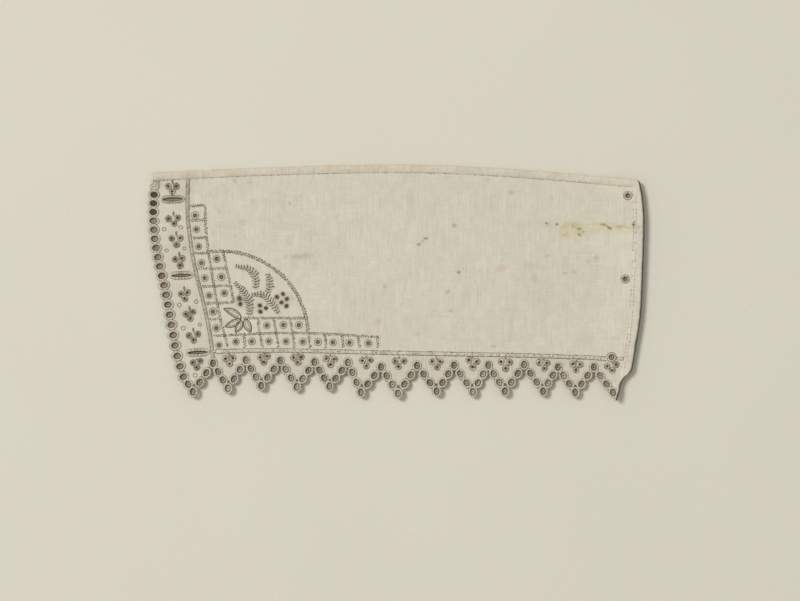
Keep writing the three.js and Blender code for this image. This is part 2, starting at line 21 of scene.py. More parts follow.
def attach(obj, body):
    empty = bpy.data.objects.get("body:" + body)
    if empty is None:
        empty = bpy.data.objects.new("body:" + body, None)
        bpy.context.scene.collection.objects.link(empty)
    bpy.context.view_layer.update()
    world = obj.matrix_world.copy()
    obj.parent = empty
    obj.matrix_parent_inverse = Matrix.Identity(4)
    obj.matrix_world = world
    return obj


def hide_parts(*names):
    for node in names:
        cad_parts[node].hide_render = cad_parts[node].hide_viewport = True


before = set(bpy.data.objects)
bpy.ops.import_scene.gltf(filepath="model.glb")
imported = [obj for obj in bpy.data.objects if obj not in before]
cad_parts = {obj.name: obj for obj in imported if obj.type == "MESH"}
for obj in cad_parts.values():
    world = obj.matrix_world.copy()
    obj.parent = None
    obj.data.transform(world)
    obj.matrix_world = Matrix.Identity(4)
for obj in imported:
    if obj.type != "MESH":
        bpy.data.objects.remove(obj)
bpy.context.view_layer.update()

MM = 0.001
BODY = "root"
# Edges of the cloth that bend more than this many degrees stay sharp
CLOTH_SHARP = 50.0
LOG = logging.getLogger("cuff")

Array = np.ndarray
Piece = bpy.types.Object
Socket = bpy.types.NodeSocket
Material = bpy.types.Material
Pair = tuple[float, float]
Triple = tuple[float, float, float]


def linear(levels: Sequence[float]) -> Array:
    """Turns screen levels into linear light.

    Args:
        levels: red, green and blue, from 0 to 255.

    Returns:
        The three as linear light, from 0 to 1.
    """
    share = np.asarray(levels, dtype=float) / 255.0
    return np.where(share <= 0.04045, share / 12.92, ((share + 0.055) / 1.055) ** 2.4)


class Dye(Enum):
    """The tones of the threads, as screen levels."""

    CREAM = (213, 206, 188)
    RIM = (204, 196, 178)
    WORN = (186, 177, 158)
    GREY = (160, 150, 133)
    DRAB = (138, 126, 108)
    BROWN = (112, 98, 80)
    DARK = (78, 66, 53)
    SAND = (172, 157, 133)
    TAN = (152, 130, 96)

    def light(self, share: float = 1.0) -> Array:
        """The tone as linear light, times a share."""
        return linear(self.value) * share


class Slot(Enum):
    """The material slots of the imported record."""

    COTTON = "cotton"
    FOLDED = "folded_cotton"
    THREAD = "thread"


# Geometry in plan

# The power that draws an oval: a larger one draws a squarer shape
OVAL = 2.0


def unit(rows: Array) -> Array:
    """Rows of the same directions, each of length 1."""
    return rows / np.maximum(np.linalg.norm(rows, axis=1, keepdims=True), 1e-9)


def left_of(rows: Array) -> Array:
    """Rows of X and Y, turned a quarter round to their left."""
    return np.column_stack([-rows[:, 1], rows[:, 0]])


def along_and_across(line: Array) -> tuple[Array, Array]:
    """The directions along a line in plan, and to the left of it."""
    ahead = unit(np.gradient(line, axis=0))
    return ahead, left_of(ahead)


def side_and_above(ahead: Array) -> tuple[Array, Array]:
    """The directions to the left of rows of X, Y and Z, and above them."""
    side = unit(np.cross([0.0, 0.0, 1.0], ahead))
    return side, np.cross(ahead, side)


def on_circle(angles: Array) -> Array:
    """Places at some angles of a circle of radius 1."""
    return np.column_stack([np.cos(angles), np.sin(angles)])


def whole_turn(count: int, shift: Array | float = 0.0) -> Array:
    """The angles of a whole turn in even steps, shifted by a share of a step."""
    return (np.arange(count) + shift) / count * 2 * math.pi


def lifted(flat: Array, height: Array | float) -> Array:
    """Places in plan, all at one height or each at its own."""
    return np.column_stack([flat, np.broadcast_to(height, len(flat))])


def ramp(values: Array, start: float, end: float) -> Array:
    """Goes from 0 at the start to 1 at the end, and stays there."""
    return np.clip((values - start) / (end - start), 0, 1)


def turned(points: Array, angle: float) -> Array:
    """Turns rows of X and Y about the origin, counter-clockwise."""
    c, s = math.cos(angle), math.sin(angle)
    return points @ np.array([[c, s], [-s, c]])


def squared(angles: Array, square: float) -> Array:
    """Finds points of a unit oval, drawn out towards a square.

    Args:
        angles: the angles of the points.
        square: 2 for a circle, and more for a squarer shape.

    Returns:
        X and Y, a row each.
    """
    spokes = on_circle(angles)
    if square == OVAL:
        return spokes
    return np.sign(spokes) * np.abs(spokes) ** (2 / square)


def signed_area(loop: Array) -> float:
    """The area of a closed loop, positive where it runs counter-clockwise."""
    following = np.roll(loop, -1, axis=0)
    return 0.5 * float(np.sum(loop[:, 0] * following[:, 1] - following[:, 0] * loop[:, 1]))


def grown_loop(loop: Array, reach: float) -> Array:
    """Moves every side of a loop to its right, with mitred corners.

    Args:
        loop: the corners, with the cloth on the left.
        reach: how far each side moves.

    Returns:
        The corners of the wider loop.
    """
    right = -left_of(unit(np.roll(loop, -1, axis=0) - loop))
    bisector = right + np.roll(right, 1, axis=0)
    stretch = np.maximum(np.sum(bisector * right, axis=1, keepdims=True), 0.6)
    return loop + reach * bisector / stretch


def dense_loop(loop: Array, step: float) -> Array:
    """Adds corners along a closed loop.

    Args:
        loop: the corners.
        step: the longest that a side may be.

    Returns:
        The corners with those added.
    """
    corners = []
    for start, end in zip(loop, np.roll(loop, -1, axis=0)):
        count = max(1, math.ceil(float(np.linalg.norm(end - start)) / step))
        corners.append(start + np.arange(count)[:, None] / count * (end - start))
    return np.concatenate(corners)


def is_inside(points: Array, loop: Array) -> Array:
    """Tells which points lie inside a closed loop.

    Args:
        points: X and Y, a row each.
        loop: the loop's corners.

    Returns:
        Whether each point lies inside.
    """
    within = np.zeros(len(points), dtype=bool)
    x, y = points[:, 0], points[:, 1]
    for (ax, ay), (bx, by) in zip(loop, np.roll(loop, -1, axis=0)):
        if ay != by:
            crossed = (ay > y) != (by > y)
            within ^= crossed & (x < (bx - ax) * (y - ay) / (by - ay) + ax)
    return within


def distances(places: Iterable[Sequence[float]], marks: Sequence[Sequence[float]]) -> Array:
    """Measures how far each place is from the nearest of some marks.

    Args:
        places: X and Y, a row each.
        marks: the same of the marks.

    Returns:
        The distance of each place.
    """
    tree = KDTree(len(marks))
    for number, (x, y) in enumerate(marks):
        tree.insert((x, y, 0.0), number)
    tree.balance()
    return np.array([tree.find((x, y, 0.0))[2] for x, y in places])


def crossings(loop: Array, axis: int, place: float) -> Pair:
    """Finds the outermost crossings of a loop with a line across one axis.

    Args:
        loop: the corners.
        axis: 0 for a line of one X, 1 for a line of one Y.
        place: where the line stands on that axis.

    Returns:
        The lowest and the highest crossing, on the other axis.
    """
    here, there = loop, np.roll(loop, -1, axis=0)
    hit = (here[:, axis] <= place) != (there[:, axis] <= place)
    here, there = here[hit], there[hit]
    share = (place - here[:, axis]) / (there[:, axis] - here[:, axis])
    found = here[:, 1 - axis] + share * (there[:, 1 - axis] - here[:, 1 - axis])
    return float(found.min()), float(found.max())


def smooth_line(points: Sequence[Sequence[float]], step: float) -> Array:
    """Draws a smooth curve through a few points and spaces it evenly.

    Args:
        points: the points, of any number of values each.
        step: the distance between the places that come back, measured in plan.

    Returns:
        The places, one a row.
    """
    rows = np.asarray(points, dtype=float)
    ends = np.vstack([2 * rows[0] - rows[1], rows, 2 * rows[-1] - rows[-2]])
    t = np.linspace(0.0, 1.0, 24, endpoint=False)[:, None]
    fine = [
        0.5 * (2 * b + (c - a) * t + (2 * a - 5 * b + 4 * c - d) * t**2 + (3 * b - a - 3 * c + d) * t**3)
        for a, b, c, d in zip(ends, ends[1:], ends[2:], ends[3:])
    ]
    curve = np.vstack([*fine, rows[-1:]])
    run = np.concatenate([[0.0], np.cumsum(np.linalg.norm(np.diff(curve[:, :2], axis=0), axis=1))])
    count = max(2, round(run[-1] / step) + 1)
    places = np.linspace(0.0, run[-1], count)
    return np.stack([np.interp(places, run, column) for column in curve.T], axis=1)


def tube_faces(count: int, sides: int, closed: bool = False) -> Array:
    """Joins the rings of a tube.

    Args:
        count: how many rings it has, one after the other.
        sides: how many corners each ring has.
        closed: whether the last ring joins the first.

    Returns:
        The four corners of each face, a row each.
    """
    ring = np.arange(sides)
    rows = np.arange(count if closed else count - 1)[:, None]
    here, there, beside = rows * sides, (rows + 1) % count * sides, (ring + 1) % sides
    return np.stack([here + ring, here + beside, there + beside, there + ring], axis=2).reshape(-1, 4)


def ripple(x: Array, y: Array, size: float, seed: float = 0.0) -> Array:
    """Gives an uneven, repeatable pattern between about -1 and 1.

    Args:
        x: places along the cuff.
        y: places across it.
        size: the width of one patch.
        seed: any number, for another pattern.

    Returns:
        The pattern at each place.
    """
    u, v = x / size, y / size
    warp = 1.3 * np.sin(0.7 * v + 1.9 * seed) + 0.8 * np.sin(1.31 * u - 0.6 * v + seed)
    waves = np.sin(u + warp) + np.sin(1.17 * v - 0.8 * warp + 2.1 * seed)
    return (waves + np.sin(1.9 * (u + v) + warp + seed) + np.sin(2.7 * (v - u) - warp)) / 3.2


@dataclass(frozen=True)
class Plan:
    """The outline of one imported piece, seen from above, with its holes."""

    outline: Array
    holes: tuple[Array, ...]

    @classmethod
    def of(cls, node: str) -> "Plan":
        """Chains the free edges of the piece's upper faces.

        Args:
            node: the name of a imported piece.

        Returns:
            Its outline and its holes, with the piece on the left of each.
        """
        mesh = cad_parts[node].data
        points = np.empty(3 * len(mesh.vertices))
        mesh.vertices.foreach_get("co", points)
        # Loose triangles become one surface: points of the same micrometre share a number
        numbers: dict[tuple[int, ...], int] = {}
        rounded = np.rint(points.reshape(-1, 3) * 1e6).astype(int)
        merged = [numbers.setdefault(tuple(point), len(numbers)) for point in rounded]
        places = np.array(list(numbers), dtype=float)[:, :2] * 1e-3
        edges = set()
        for face in mesh.polygons:
            if face.normal.z > 0.5:
                corners = [merged[v] for v in face.vertices]
                edges.update(zip(corners, corners[1:] + corners[:1]))
        following = {a: b for a, b in sorted(edges) if (b, a) not in edges}
        loops = []
        while following:
            corner = next(iter(following))
            loop = []
            while corner in following:
                loop.append(corner)
                corner = following.pop(corner)
            loops.append(places[loop])
        loops.sort(key=signed_area)
        return cls(loops[-1], tuple(loops[:-1]))

    def grown(self, reach: float) -> "Plan":
        """The plan with its outline moved out and its holes drawn in."""
        return Plan(grown_loop(self.outline, reach), tuple(grown_loop(hole, reach) for hole in self.holes))


@dataclass(frozen=True)
class Opening:
    """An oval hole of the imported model: its middle, its half axes and how its long axis turns."""

    x: float
    y: float
    long: float
    short: float
    turn: float

    @classmethod
    def of(cls, loop: Array) -> "Opening":
        """Measures a loop that has eight corners on an oval, and perhaps some on its sides.

        Args:
            loop: the corners.

        Returns:
            The oval.
        """
        following = np.roll(loop, -1, axis=0)
        cross = loop[:, 0] * following[:, 1] - following[:, 0] * loop[:, 1]
        centre = np.sum((loop + following) * cross[:, None], axis=0) / (3 * np.sum(cross))
        spokes = loop - centre
        farthest = spokes[int(np.argmax(np.linalg.norm(spokes, axis=1)))]
        reach = float(np.linalg.norm(farthest))
        # An octagon in an oval has 2 x root 2 times the product of its half axes as its area
        breadth = abs(signed_area(loop)) / (2 * math.sqrt(2) * reach)
        return cls(float(centre[0]), float(centre[1]), reach, breadth, math.atan2(farthest[1], farthest[0]))

    @property
    def centre(self) -> Pair:
        """Its middle."""
        return self.x, self.y

    @property
    def axes(self) -> Array:
        """Its half axes."""
        return np.array([self.long, self.short])


# How the cuff lies, and how it is soiled


@dataclass(frozen=True)
class Lie:
    """How the cuff lies on the table: what lifts the underside of its cloth."""

    hem_start: float = 90.0
    hem_end: float = 114.0
    hem_rise: float = 3.0
    point_start: float = -36.0
    point_end: float = -54.0
    point_rise: float = 2.2
    curl: float = 1.5
    side_start: float = -92.0
    side_end: float = -108.0
    side_rise: float = 0.3
    border_start: float = -30.0
    border_end: float = -39.0
    border_rise: float = 0.75
    swell: float = 0.16
    swell_width: float = 8.5

    def height(self, x: Array, y: Array) -> Array:
        """The height of the underside over the table.

        Args:
            x: places along the cuff.
            y: places across it.

        Returns:
            The height at each place.
        """
        hem = ramp(x, self.hem_start, self.hem_end)
        point = ramp(y, self.point_start, self.point_end)
        side = ramp(x, self.side_start, self.side_end)
        border = ramp(y, self.border_start, self.border_end)
        side_lift = self.side_rise * side**2 * (3 - 2 * side)
        border_lift = self.border_rise * border**2 * (3 - 2 * border)
        curled = self.hem_rise * hem**self.curl + self.point_rise * point**self.curl
        rise = np.hypot(curled, np.hypot(side_lift, border_lift))
        return rise + self.swell * np.clip(0.5 + 0.5 * ripple(x, y, self.swell_width), 0, 1)


@dataclass(frozen=True)
class Stain:
    """A stain in the cloth: an uneven oval that multiplies the cloth's colour."""

    x: float
    y: float
    along: float
    across: float
    depth: float
    tint: Triple
    turn: float = 0.0
    ragged: float = 0.35


YELLOW = (0.97, 0.93, 0.79)
OCHRE = (0.82, 0.73, 0.54)
RUST = (0.58, 0.46, 0.32)
PINK = (0.90, 0.78, 0.70)
SMUDGE = (0.64, 0.60, 0.54)
OLIVE = (0.42, 0.38, 0.27)
WARM = (1.0, 0.90, 0.80)

STAINS = tuple(Stain(*values) for values in (
    (82.0, 24.9, 5.4, 3.6, 0.95, YELLOW, -0.1, 0.6), (94.2, 26.2, 4.8, 2.4, 0.90, YELLOW, -0.15, 0.6),
    (104.5, 25.4, 6.5, 1.3, 0.85, YELLOW, -0.03, 0.7), (72.0, 26.0, 6.0, 2.2, 0.30, YELLOW, 0.0, 0.6),
    (63.0, 26.2, 4.0, 1.8, 0.22, YELLOW, 0.0, 0.6), (77.5, 21.6, 3.0, 1.2, 0.55, YELLOW, 0.1, 0.6),
    (84.4, 24.2, 1.5, 1.2, 0.50, OCHRE, 0.4, 0.9), (84.5, 24.4, 0.9, 0.42, 0.85, OLIVE),
    (84.4, 21.8, 1.0, 0.42, 1.0, OLIVE, -0.75), (86.1, 23.1, 0.6, 0.45, 0.70, RUST),
    (81.7, 25.6, 0.9, 0.65, 0.80, OCHRE, 0.6, 0.9), (77.2, 25.9, 0.9, 0.6, 0.40, OCHRE, 0.6, 0.9),
    (77.2, 21.7, 1.2, 0.7, 0.45, OCHRE, 0.6, 0.9), (81.6, 26.8, 2.4, 0.6, 0.40, OCHRE, 0.1, 0.9),
    (95.4, 26.3, 1.3, 0.45, 0.95, RUST, -0.12, 0.8), (97.2, 25.5, 0.9, 0.42, 0.90, RUST, -0.65, 0.8),
    (98.4, 24.7, 0.8, 0.45, 1.0, OLIVE, -0.5), (102.6, 25.6, 2.4, 0.45, 0.60, OCHRE, 0.10, 0.8),
    (104.5, 25.1, 2.2, 0.40, 0.45, OCHRE, -0.1, 0.8), (69.5, 27.0, 0.55, 0.5, 0.95, OLIVE),
    (74.0, 26.5, 0.62, 0.52, 1.0, OLIVE), (108.9, 26.3, 0.6, 0.6, 0.95, (0.40, 0.38, 0.34)),
    (109.1, 27.4, 0.45, 0.4, 0.90, SMUDGE), (110.0, 25.0, 2.0, 0.4, 0.55, OCHRE, 0.1),
    (27.0, 26.0, 0.9, 0.75, 0.65, RUST), (34.7, 28.5, 1.0, 0.8, 0.60, PINK),
    (14.0, 20.0, 1.0, 0.42, 0.90, OLIVE, 0.1), (12.4, 18.7, 0.9, 0.3, 0.45, OLIVE, 0.8),
    (10.8, 17.2, 1.0, 0.42, 0.80, OLIVE, 0.1), (29.1, 4.4, 0.65, 0.55, 0.95, OLIVE),
    (23.9, -4.6, 1.3, 0.6, 0.65, SMUDGE, 0.6), (25.4, -13.2, 0.5, 0.4, 0.70, SMUDGE),
    (-5.0, -2.0, 0.4, 0.5, 0.70, SMUDGE), (69.4, 11.8, 1.0, 0.6, 0.40, SMUDGE, 0.5),
    (77.4, 3.9, 1.4, 0.6, 0.45, SMUDGE, 0.4), (88.5, 9.5, 0.9, 0.7, 0.40, SMUDGE),
    (64.0, 1.5, 1.2, 1.6, 0.30, SMUDGE), (16.0, 49.9, 0.8, 0.5, 0.55, SMUDGE),
    (48.5, 6.4, 2.2, 1.6, 0.55, PINK), (60.9, 7.4, 2.0, 1.6, 0.50, PINK),
    (92.2, 11.0, 1.1, 1.0, 0.50, SMUDGE), (53.1, 40.9, 1.2, 0.9, 0.50, SMUDGE),
    (45.2, -29.4, 0.9, 0.7, 0.60, SMUDGE), (-70.3, 27.7, 1.5, 1.1, 0.40, OCHRE),
    (-74.0, 46.6, 0.9, 1.1, 0.35, SMUDGE), (-66.8, 46.0, 0.9, 1.0, 0.35, SMUDGE),
    (-65.3, 37.1, 1.0, 1.2, 0.28, SMUDGE), (-85.5, 39.9, 1.6, 1.0, 0.28, OCHRE, 0.3),
    (-81.0, 32.3, 1.0, 1.2, 0.32, SMUDGE), (-83.8, 22.5, 0.9, 1.1, 0.28, SMUDGE),
    (-73.7, 21.4, 0.8, 1.0, 0.25, SMUDGE), (-48.6, 36.1, 0.5, 0.5, 0.80, SMUDGE),
    (-44.0, 11.7, 5.0, 1.1, 0.40, SMUDGE, 0.1, 0.8), (-8.3, -18.4, 2.0, 1.5, 0.50, PINK),
    (82.0, 4.5, 1.0, 0.8, 0.45, SMUDGE), (-11.0, 52.6, 7.0, 1.6, 0.55, WARM, 0.0, 0.6),
    (10.0, 52.4, 5.0, 1.0, 0.45, WARM, 0.0, 0.6), (-30.0, 52.6, 5.0, 1.2, 0.40, WARM, 0.0, 0.6),
    (-53.0, 51.6, 8.0, 1.3, 0.45, WARM, 0.03, 0.6), (-78.0, 50.6, 5.0, 1.0, 0.40, WARM, 0.04, 0.6),
    (-99.0, 49.2, 5.0, 1.4, 0.50, WARM, 0.05, 0.6), (-110.0, 47.2, 3.0, 1.5, 0.50, WARM, 0.0, 0.6),
    (38.0, 51.9, 6.0, 1.0, 0.35, WARM, 0.0, 0.6), (-21.5, 51.0, 2.2, 0.5, 0.35, SMUDGE, 0.0, 0.6),
    (-71.8, -7.6, 2.1, 2.0, 0.40, SMUDGE), (-71.4, -10.2, 1.9, 1.8, 0.40, SMUDGE),
    (-62.0, -12.2, 3.0, 2.6, 0.35, SMUDGE), (-51.6, -8.3, 4.0, 3.6, 0.30, SMUDGE),
))


@dataclass
class Soil:
    """Where the cloth is soiled: stains, and a grey halo round the worked places, partly soil and partly
    painted shade round the raised work.
    """

    stains: Sequence[Stain] = STAINS
    # How sharply a stain ends
    stain_edge: float = 5.0
    soil_and_shade_reach: float = 2.6
    soil_and_shade_depth: float = 0.08
    # The weight of the grey halo, soil and painted shade, on red, green and blue
    soil_and_shade_tint: Triple = (1.0, 1.05, 1.12)
    worked: list[Pair] = field(default_factory=list)

    def mark(self, places: Iterable[Pair]) -> None:
        """Notes worked places, round which the cloth is greyed by soil and painted shade."""
        self.worked.extend(places)

    def tones(self, x: Array, y: Array, base: Sequence[float] = (1, 1, 1)) -> Array:
        """The factor that each place of the cloth is multiplied by.

        Args:
            x: places along the cuff.
            y: places across it.
            base: the factor of clean cloth in this piece.

        Returns:
            Red, green and blue factors, one row a place.
        """
        tones = np.tile(np.asarray(base, dtype=float), (len(x), 1))
        for number, stain in enumerate(self.stains):
            spokes = turned(np.stack([x - stain.x, y - stain.y], axis=1), -stain.turn)
            patch = 0.22 * (stain.along + stain.across) + 0.25
            waves = ripple(x, y, patch, number) + 0.6 * ripple(x, y, 0.35 * patch, number + 5)
            fray = 1 + stain.ragged * waves
            spread = np.hypot(spokes[:, 0] / stain.along, spokes[:, 1] / stain.across) * np.maximum(fray, 0.6)
            strength = stain.depth / (1 + np.exp(np.clip(self.stain_edge * (spread - 1.0), -30, 30)))
            tones *= 1 - strength[:, None] * (1 - np.asarray(stain.tint))
        # The grey halo round the worked places: partly soil, partly painted shade where the raised work would
        # shade the cloth
        if self.worked:
            far = distances(zip(x, y), self.worked) / self.soil_and_shade_reach
            tones *= (1 - self.soil_and_shade_depth * np.exp(-(far**2)))[:, None] ** np.array(self.soil_and_shade_tint)
        return tones


# Objects


def nothing_selected() -> None:
    """Leaves object mode with nothing selected."""
    if bpy.context.object and bpy.context.object.mode != "OBJECT":
        bpy.ops.object.mode_set(mode="OBJECT")
    bpy.ops.object.select_all(action="DESELECT")


def mesh_piece(
    name: str, points: Array, faces: list, tones: Array, layer: str, sharp: float = CLOTH_SHARP,
) -> Piece:
    """Makes a piece from its points, in millimetres, and its faces.

    Args:
        name: the piece's name.
        points: X, Y and Z, a row each.
        faces: the corners of each face.
        tones: red, green and blue of each point.
        layer: the name of the attribute that holds the tones.
        sharp: edges that bend more than this many degrees stay sharp.

    Returns:
        The new object, smooth shaded, selected alone and active.
    """
    mesh = bpy.data.meshes.new(name)
    mesh.from_pydata((points * MM).tolist(), [], faces)
    colours = mesh.color_attributes.new(name=layer, type="FLOAT_COLOR", domain="POINT")
    solid = np.hstack([tones, np.ones((len(points), 1))])
    colours.data.foreach_set("color", solid.astype(np.float32).ravel())
    mesh.update()
    piece = bpy.data.objects.new(name, mesh)
    bpy.context.collection.objects.link(piece)
    nothing_selected()
    piece.select_set(True)
    bpy.context.view_layer.objects.active = piece
    bpy.ops.object.shade_smooth_by_angle(angle=math.radians(sharp))
    return piece


@dataclass(frozen=True)
class Form:
    """A small closed form that many stitches copy: its points, and its faces by their corners."""

    points: Array
    faces: dict[int, Array]

    @classmethod
    def taken(cls) -> "Form":
        """Takes the form out of the active object, and removes the object.

        Returns:
            The form.
        """
        bpy.ops.object.mode_set(mode="OBJECT")
        piece = bpy.context.object
        bpy.ops.object.transform_apply(location=True, rotation=True, scale=True)
        mesh = piece.data
        points = np.array([vertex.co[:] for vertex in mesh.vertices])
        faces: dict[int, list] = {}
        for face in mesh.polygons:
            faces.setdefault(len(face.vertices), []).append(face.vertices[:])
        bpy.data.objects.remove(piece)
        bpy.data.meshes.remove(mesh)
        return cls(points, {corners: np.array(rows) for corners, rows in faces.items()})


class Forms:
    """The forms of the stitches, each modelled once."""

    GRAIN_SIDES = 6
    # A stitch from its start to its end: place, lift of its middle, thickness
    GRAIN = ((0.0, 0.10, 0.45), (0.17, 0.45, 0.85), (0.5, 0.66, 1.0), (0.83, 0.45, 0.85), (1.0, 0.10, 0.45))
    GRAIN_HEIGHT = 0.68
    LINK_REACH = 0.42
    LINK_THREAD = 0.075
    # Where the link is pinched, how far, and how much higher its thread is than wide
    LINK_NECK = 0.3
    LINK_PINCH = 0.55
    LINK_HEIGHT = 6.6
    HOOP_THICKNESS = 0.5

    def __init__(self) -> None:
        """Models each form."""
        self.grain = self._model_grain()
        self.link = self._model_link()
        self.knot = self._model_knot()
        self.hoop = self._model_hoop(26, 7)
        self.small_hoop = self._model_hoop(16, 5)

    def _model_grain(self) -> Form:
        """Models a stitch: a grain from X 0 to 1, a unit wide, that arches from Z 0 to 1.

        Returns:
            The form.
        """
        nothing_selected()
        bpy.ops.mesh.primitive_circle_add(
            vertices=self.GRAIN_SIDES, radius=0.5, fill_type="NGON", rotation=(0, math.pi / 2, 0)
        )
        bpy.ops.object.transform_apply(location=True, rotation=True, scale=True)
        bpy.ops.object.mode_set(mode="EDIT")
        bpy.ops.mesh.select_all(action="SELECT")
        _, lift, girth = self.GRAIN[0]
        bpy.ops.transform.resize(value=(1, girth, girth * self.GRAIN_HEIGHT), center_override=(0, 0, 0))
        bpy.ops.transform.translate(value=(0, 0, lift))
        for here, there in zip(self.GRAIN, self.GRAIN[1:]):
            step = (there[0] - here[0], 0, there[1] - here[1])
            bpy.ops.mesh.extrude_region_move(TRANSFORM_OT_translate={"value": step})
            ratio = there[2] / here[2]
            bpy.ops.transform.resize(value=(1, ratio, ratio), center_override=(there[0], 0, there[1]))
        bpy.ops.mesh.select_all(action="SELECT")
        bpy.ops.mesh.normals_make_consistent(inside=False)
        return Form.taken()

    def _model_link(self) -> Form:
        """Models a chain link from X 0 to 1: a loop that is pinched where it starts.

        Returns:
            The form.
        """
        nothing_selected()
        bpy.ops.mesh.primitive_torus_add(
            major_segments=12, minor_segments=4, major_radius=self.LINK_REACH,
            minor_radius=self.LINK_THREAD, location=(0.5, 0, 0),
        )
        bpy.ops.object.transform_apply(location=True, rotation=True, scale=True)
        bpy.ops.object.mode_set(mode="EDIT")
        bpy.ops.mesh.select_all(action="DESELECT")
        bpy.ops.object.mode_set(mode="OBJECT")
        for vertex in bpy.context.object.data.vertices:
            vertex.select = vertex.co.x < self.LINK_NECK
        bpy.ops.object.mode_set(mode="EDIT")
        bpy.ops.transform.resize(value=(1, self.LINK_PINCH, 1), center_override=(0, 0, 0))
        bpy.ops.mesh.select_all(action="SELECT")
        bpy.ops.transform.resize(value=(1, 1, self.LINK_HEIGHT), center_override=(0, 0, 0))
        bpy.ops.transform.translate(value=(0, 0, 0.5))
        return Form.taken()

    def _model_knot(self) -> Form:
        """Models a small low dome, one unit across.

        Returns:
            The form.
        """
        nothing_selected()
        bpy.ops.mesh.primitive_ico_sphere_add(subdivisions=2, radius=0.5, location=(0, 0, 0))
        bpy.ops.object.mode_set(mode="EDIT")
        bpy.ops.mesh.select_all(action="SELECT")
        bpy.ops.transform.translate(value=(0, 0, 0.5))
        return Form.taken()

    def _model_hoop(self, around: int, section: int) -> Form:
        """Models a ring of radius 1, half a unit thick each way from its middle.

        Args:
            around: how many segments run round it.
            section: the sides of its section.

        Returns:
            The form.
        """
        nothing_selected()
        bpy.ops.mesh.primitive_torus_add(
            major_segments=around, minor_segments=section, major_radius=1.0, minor_radius=self.HOOP_THICKNESS
        )
        return Form.taken()


# Finishes


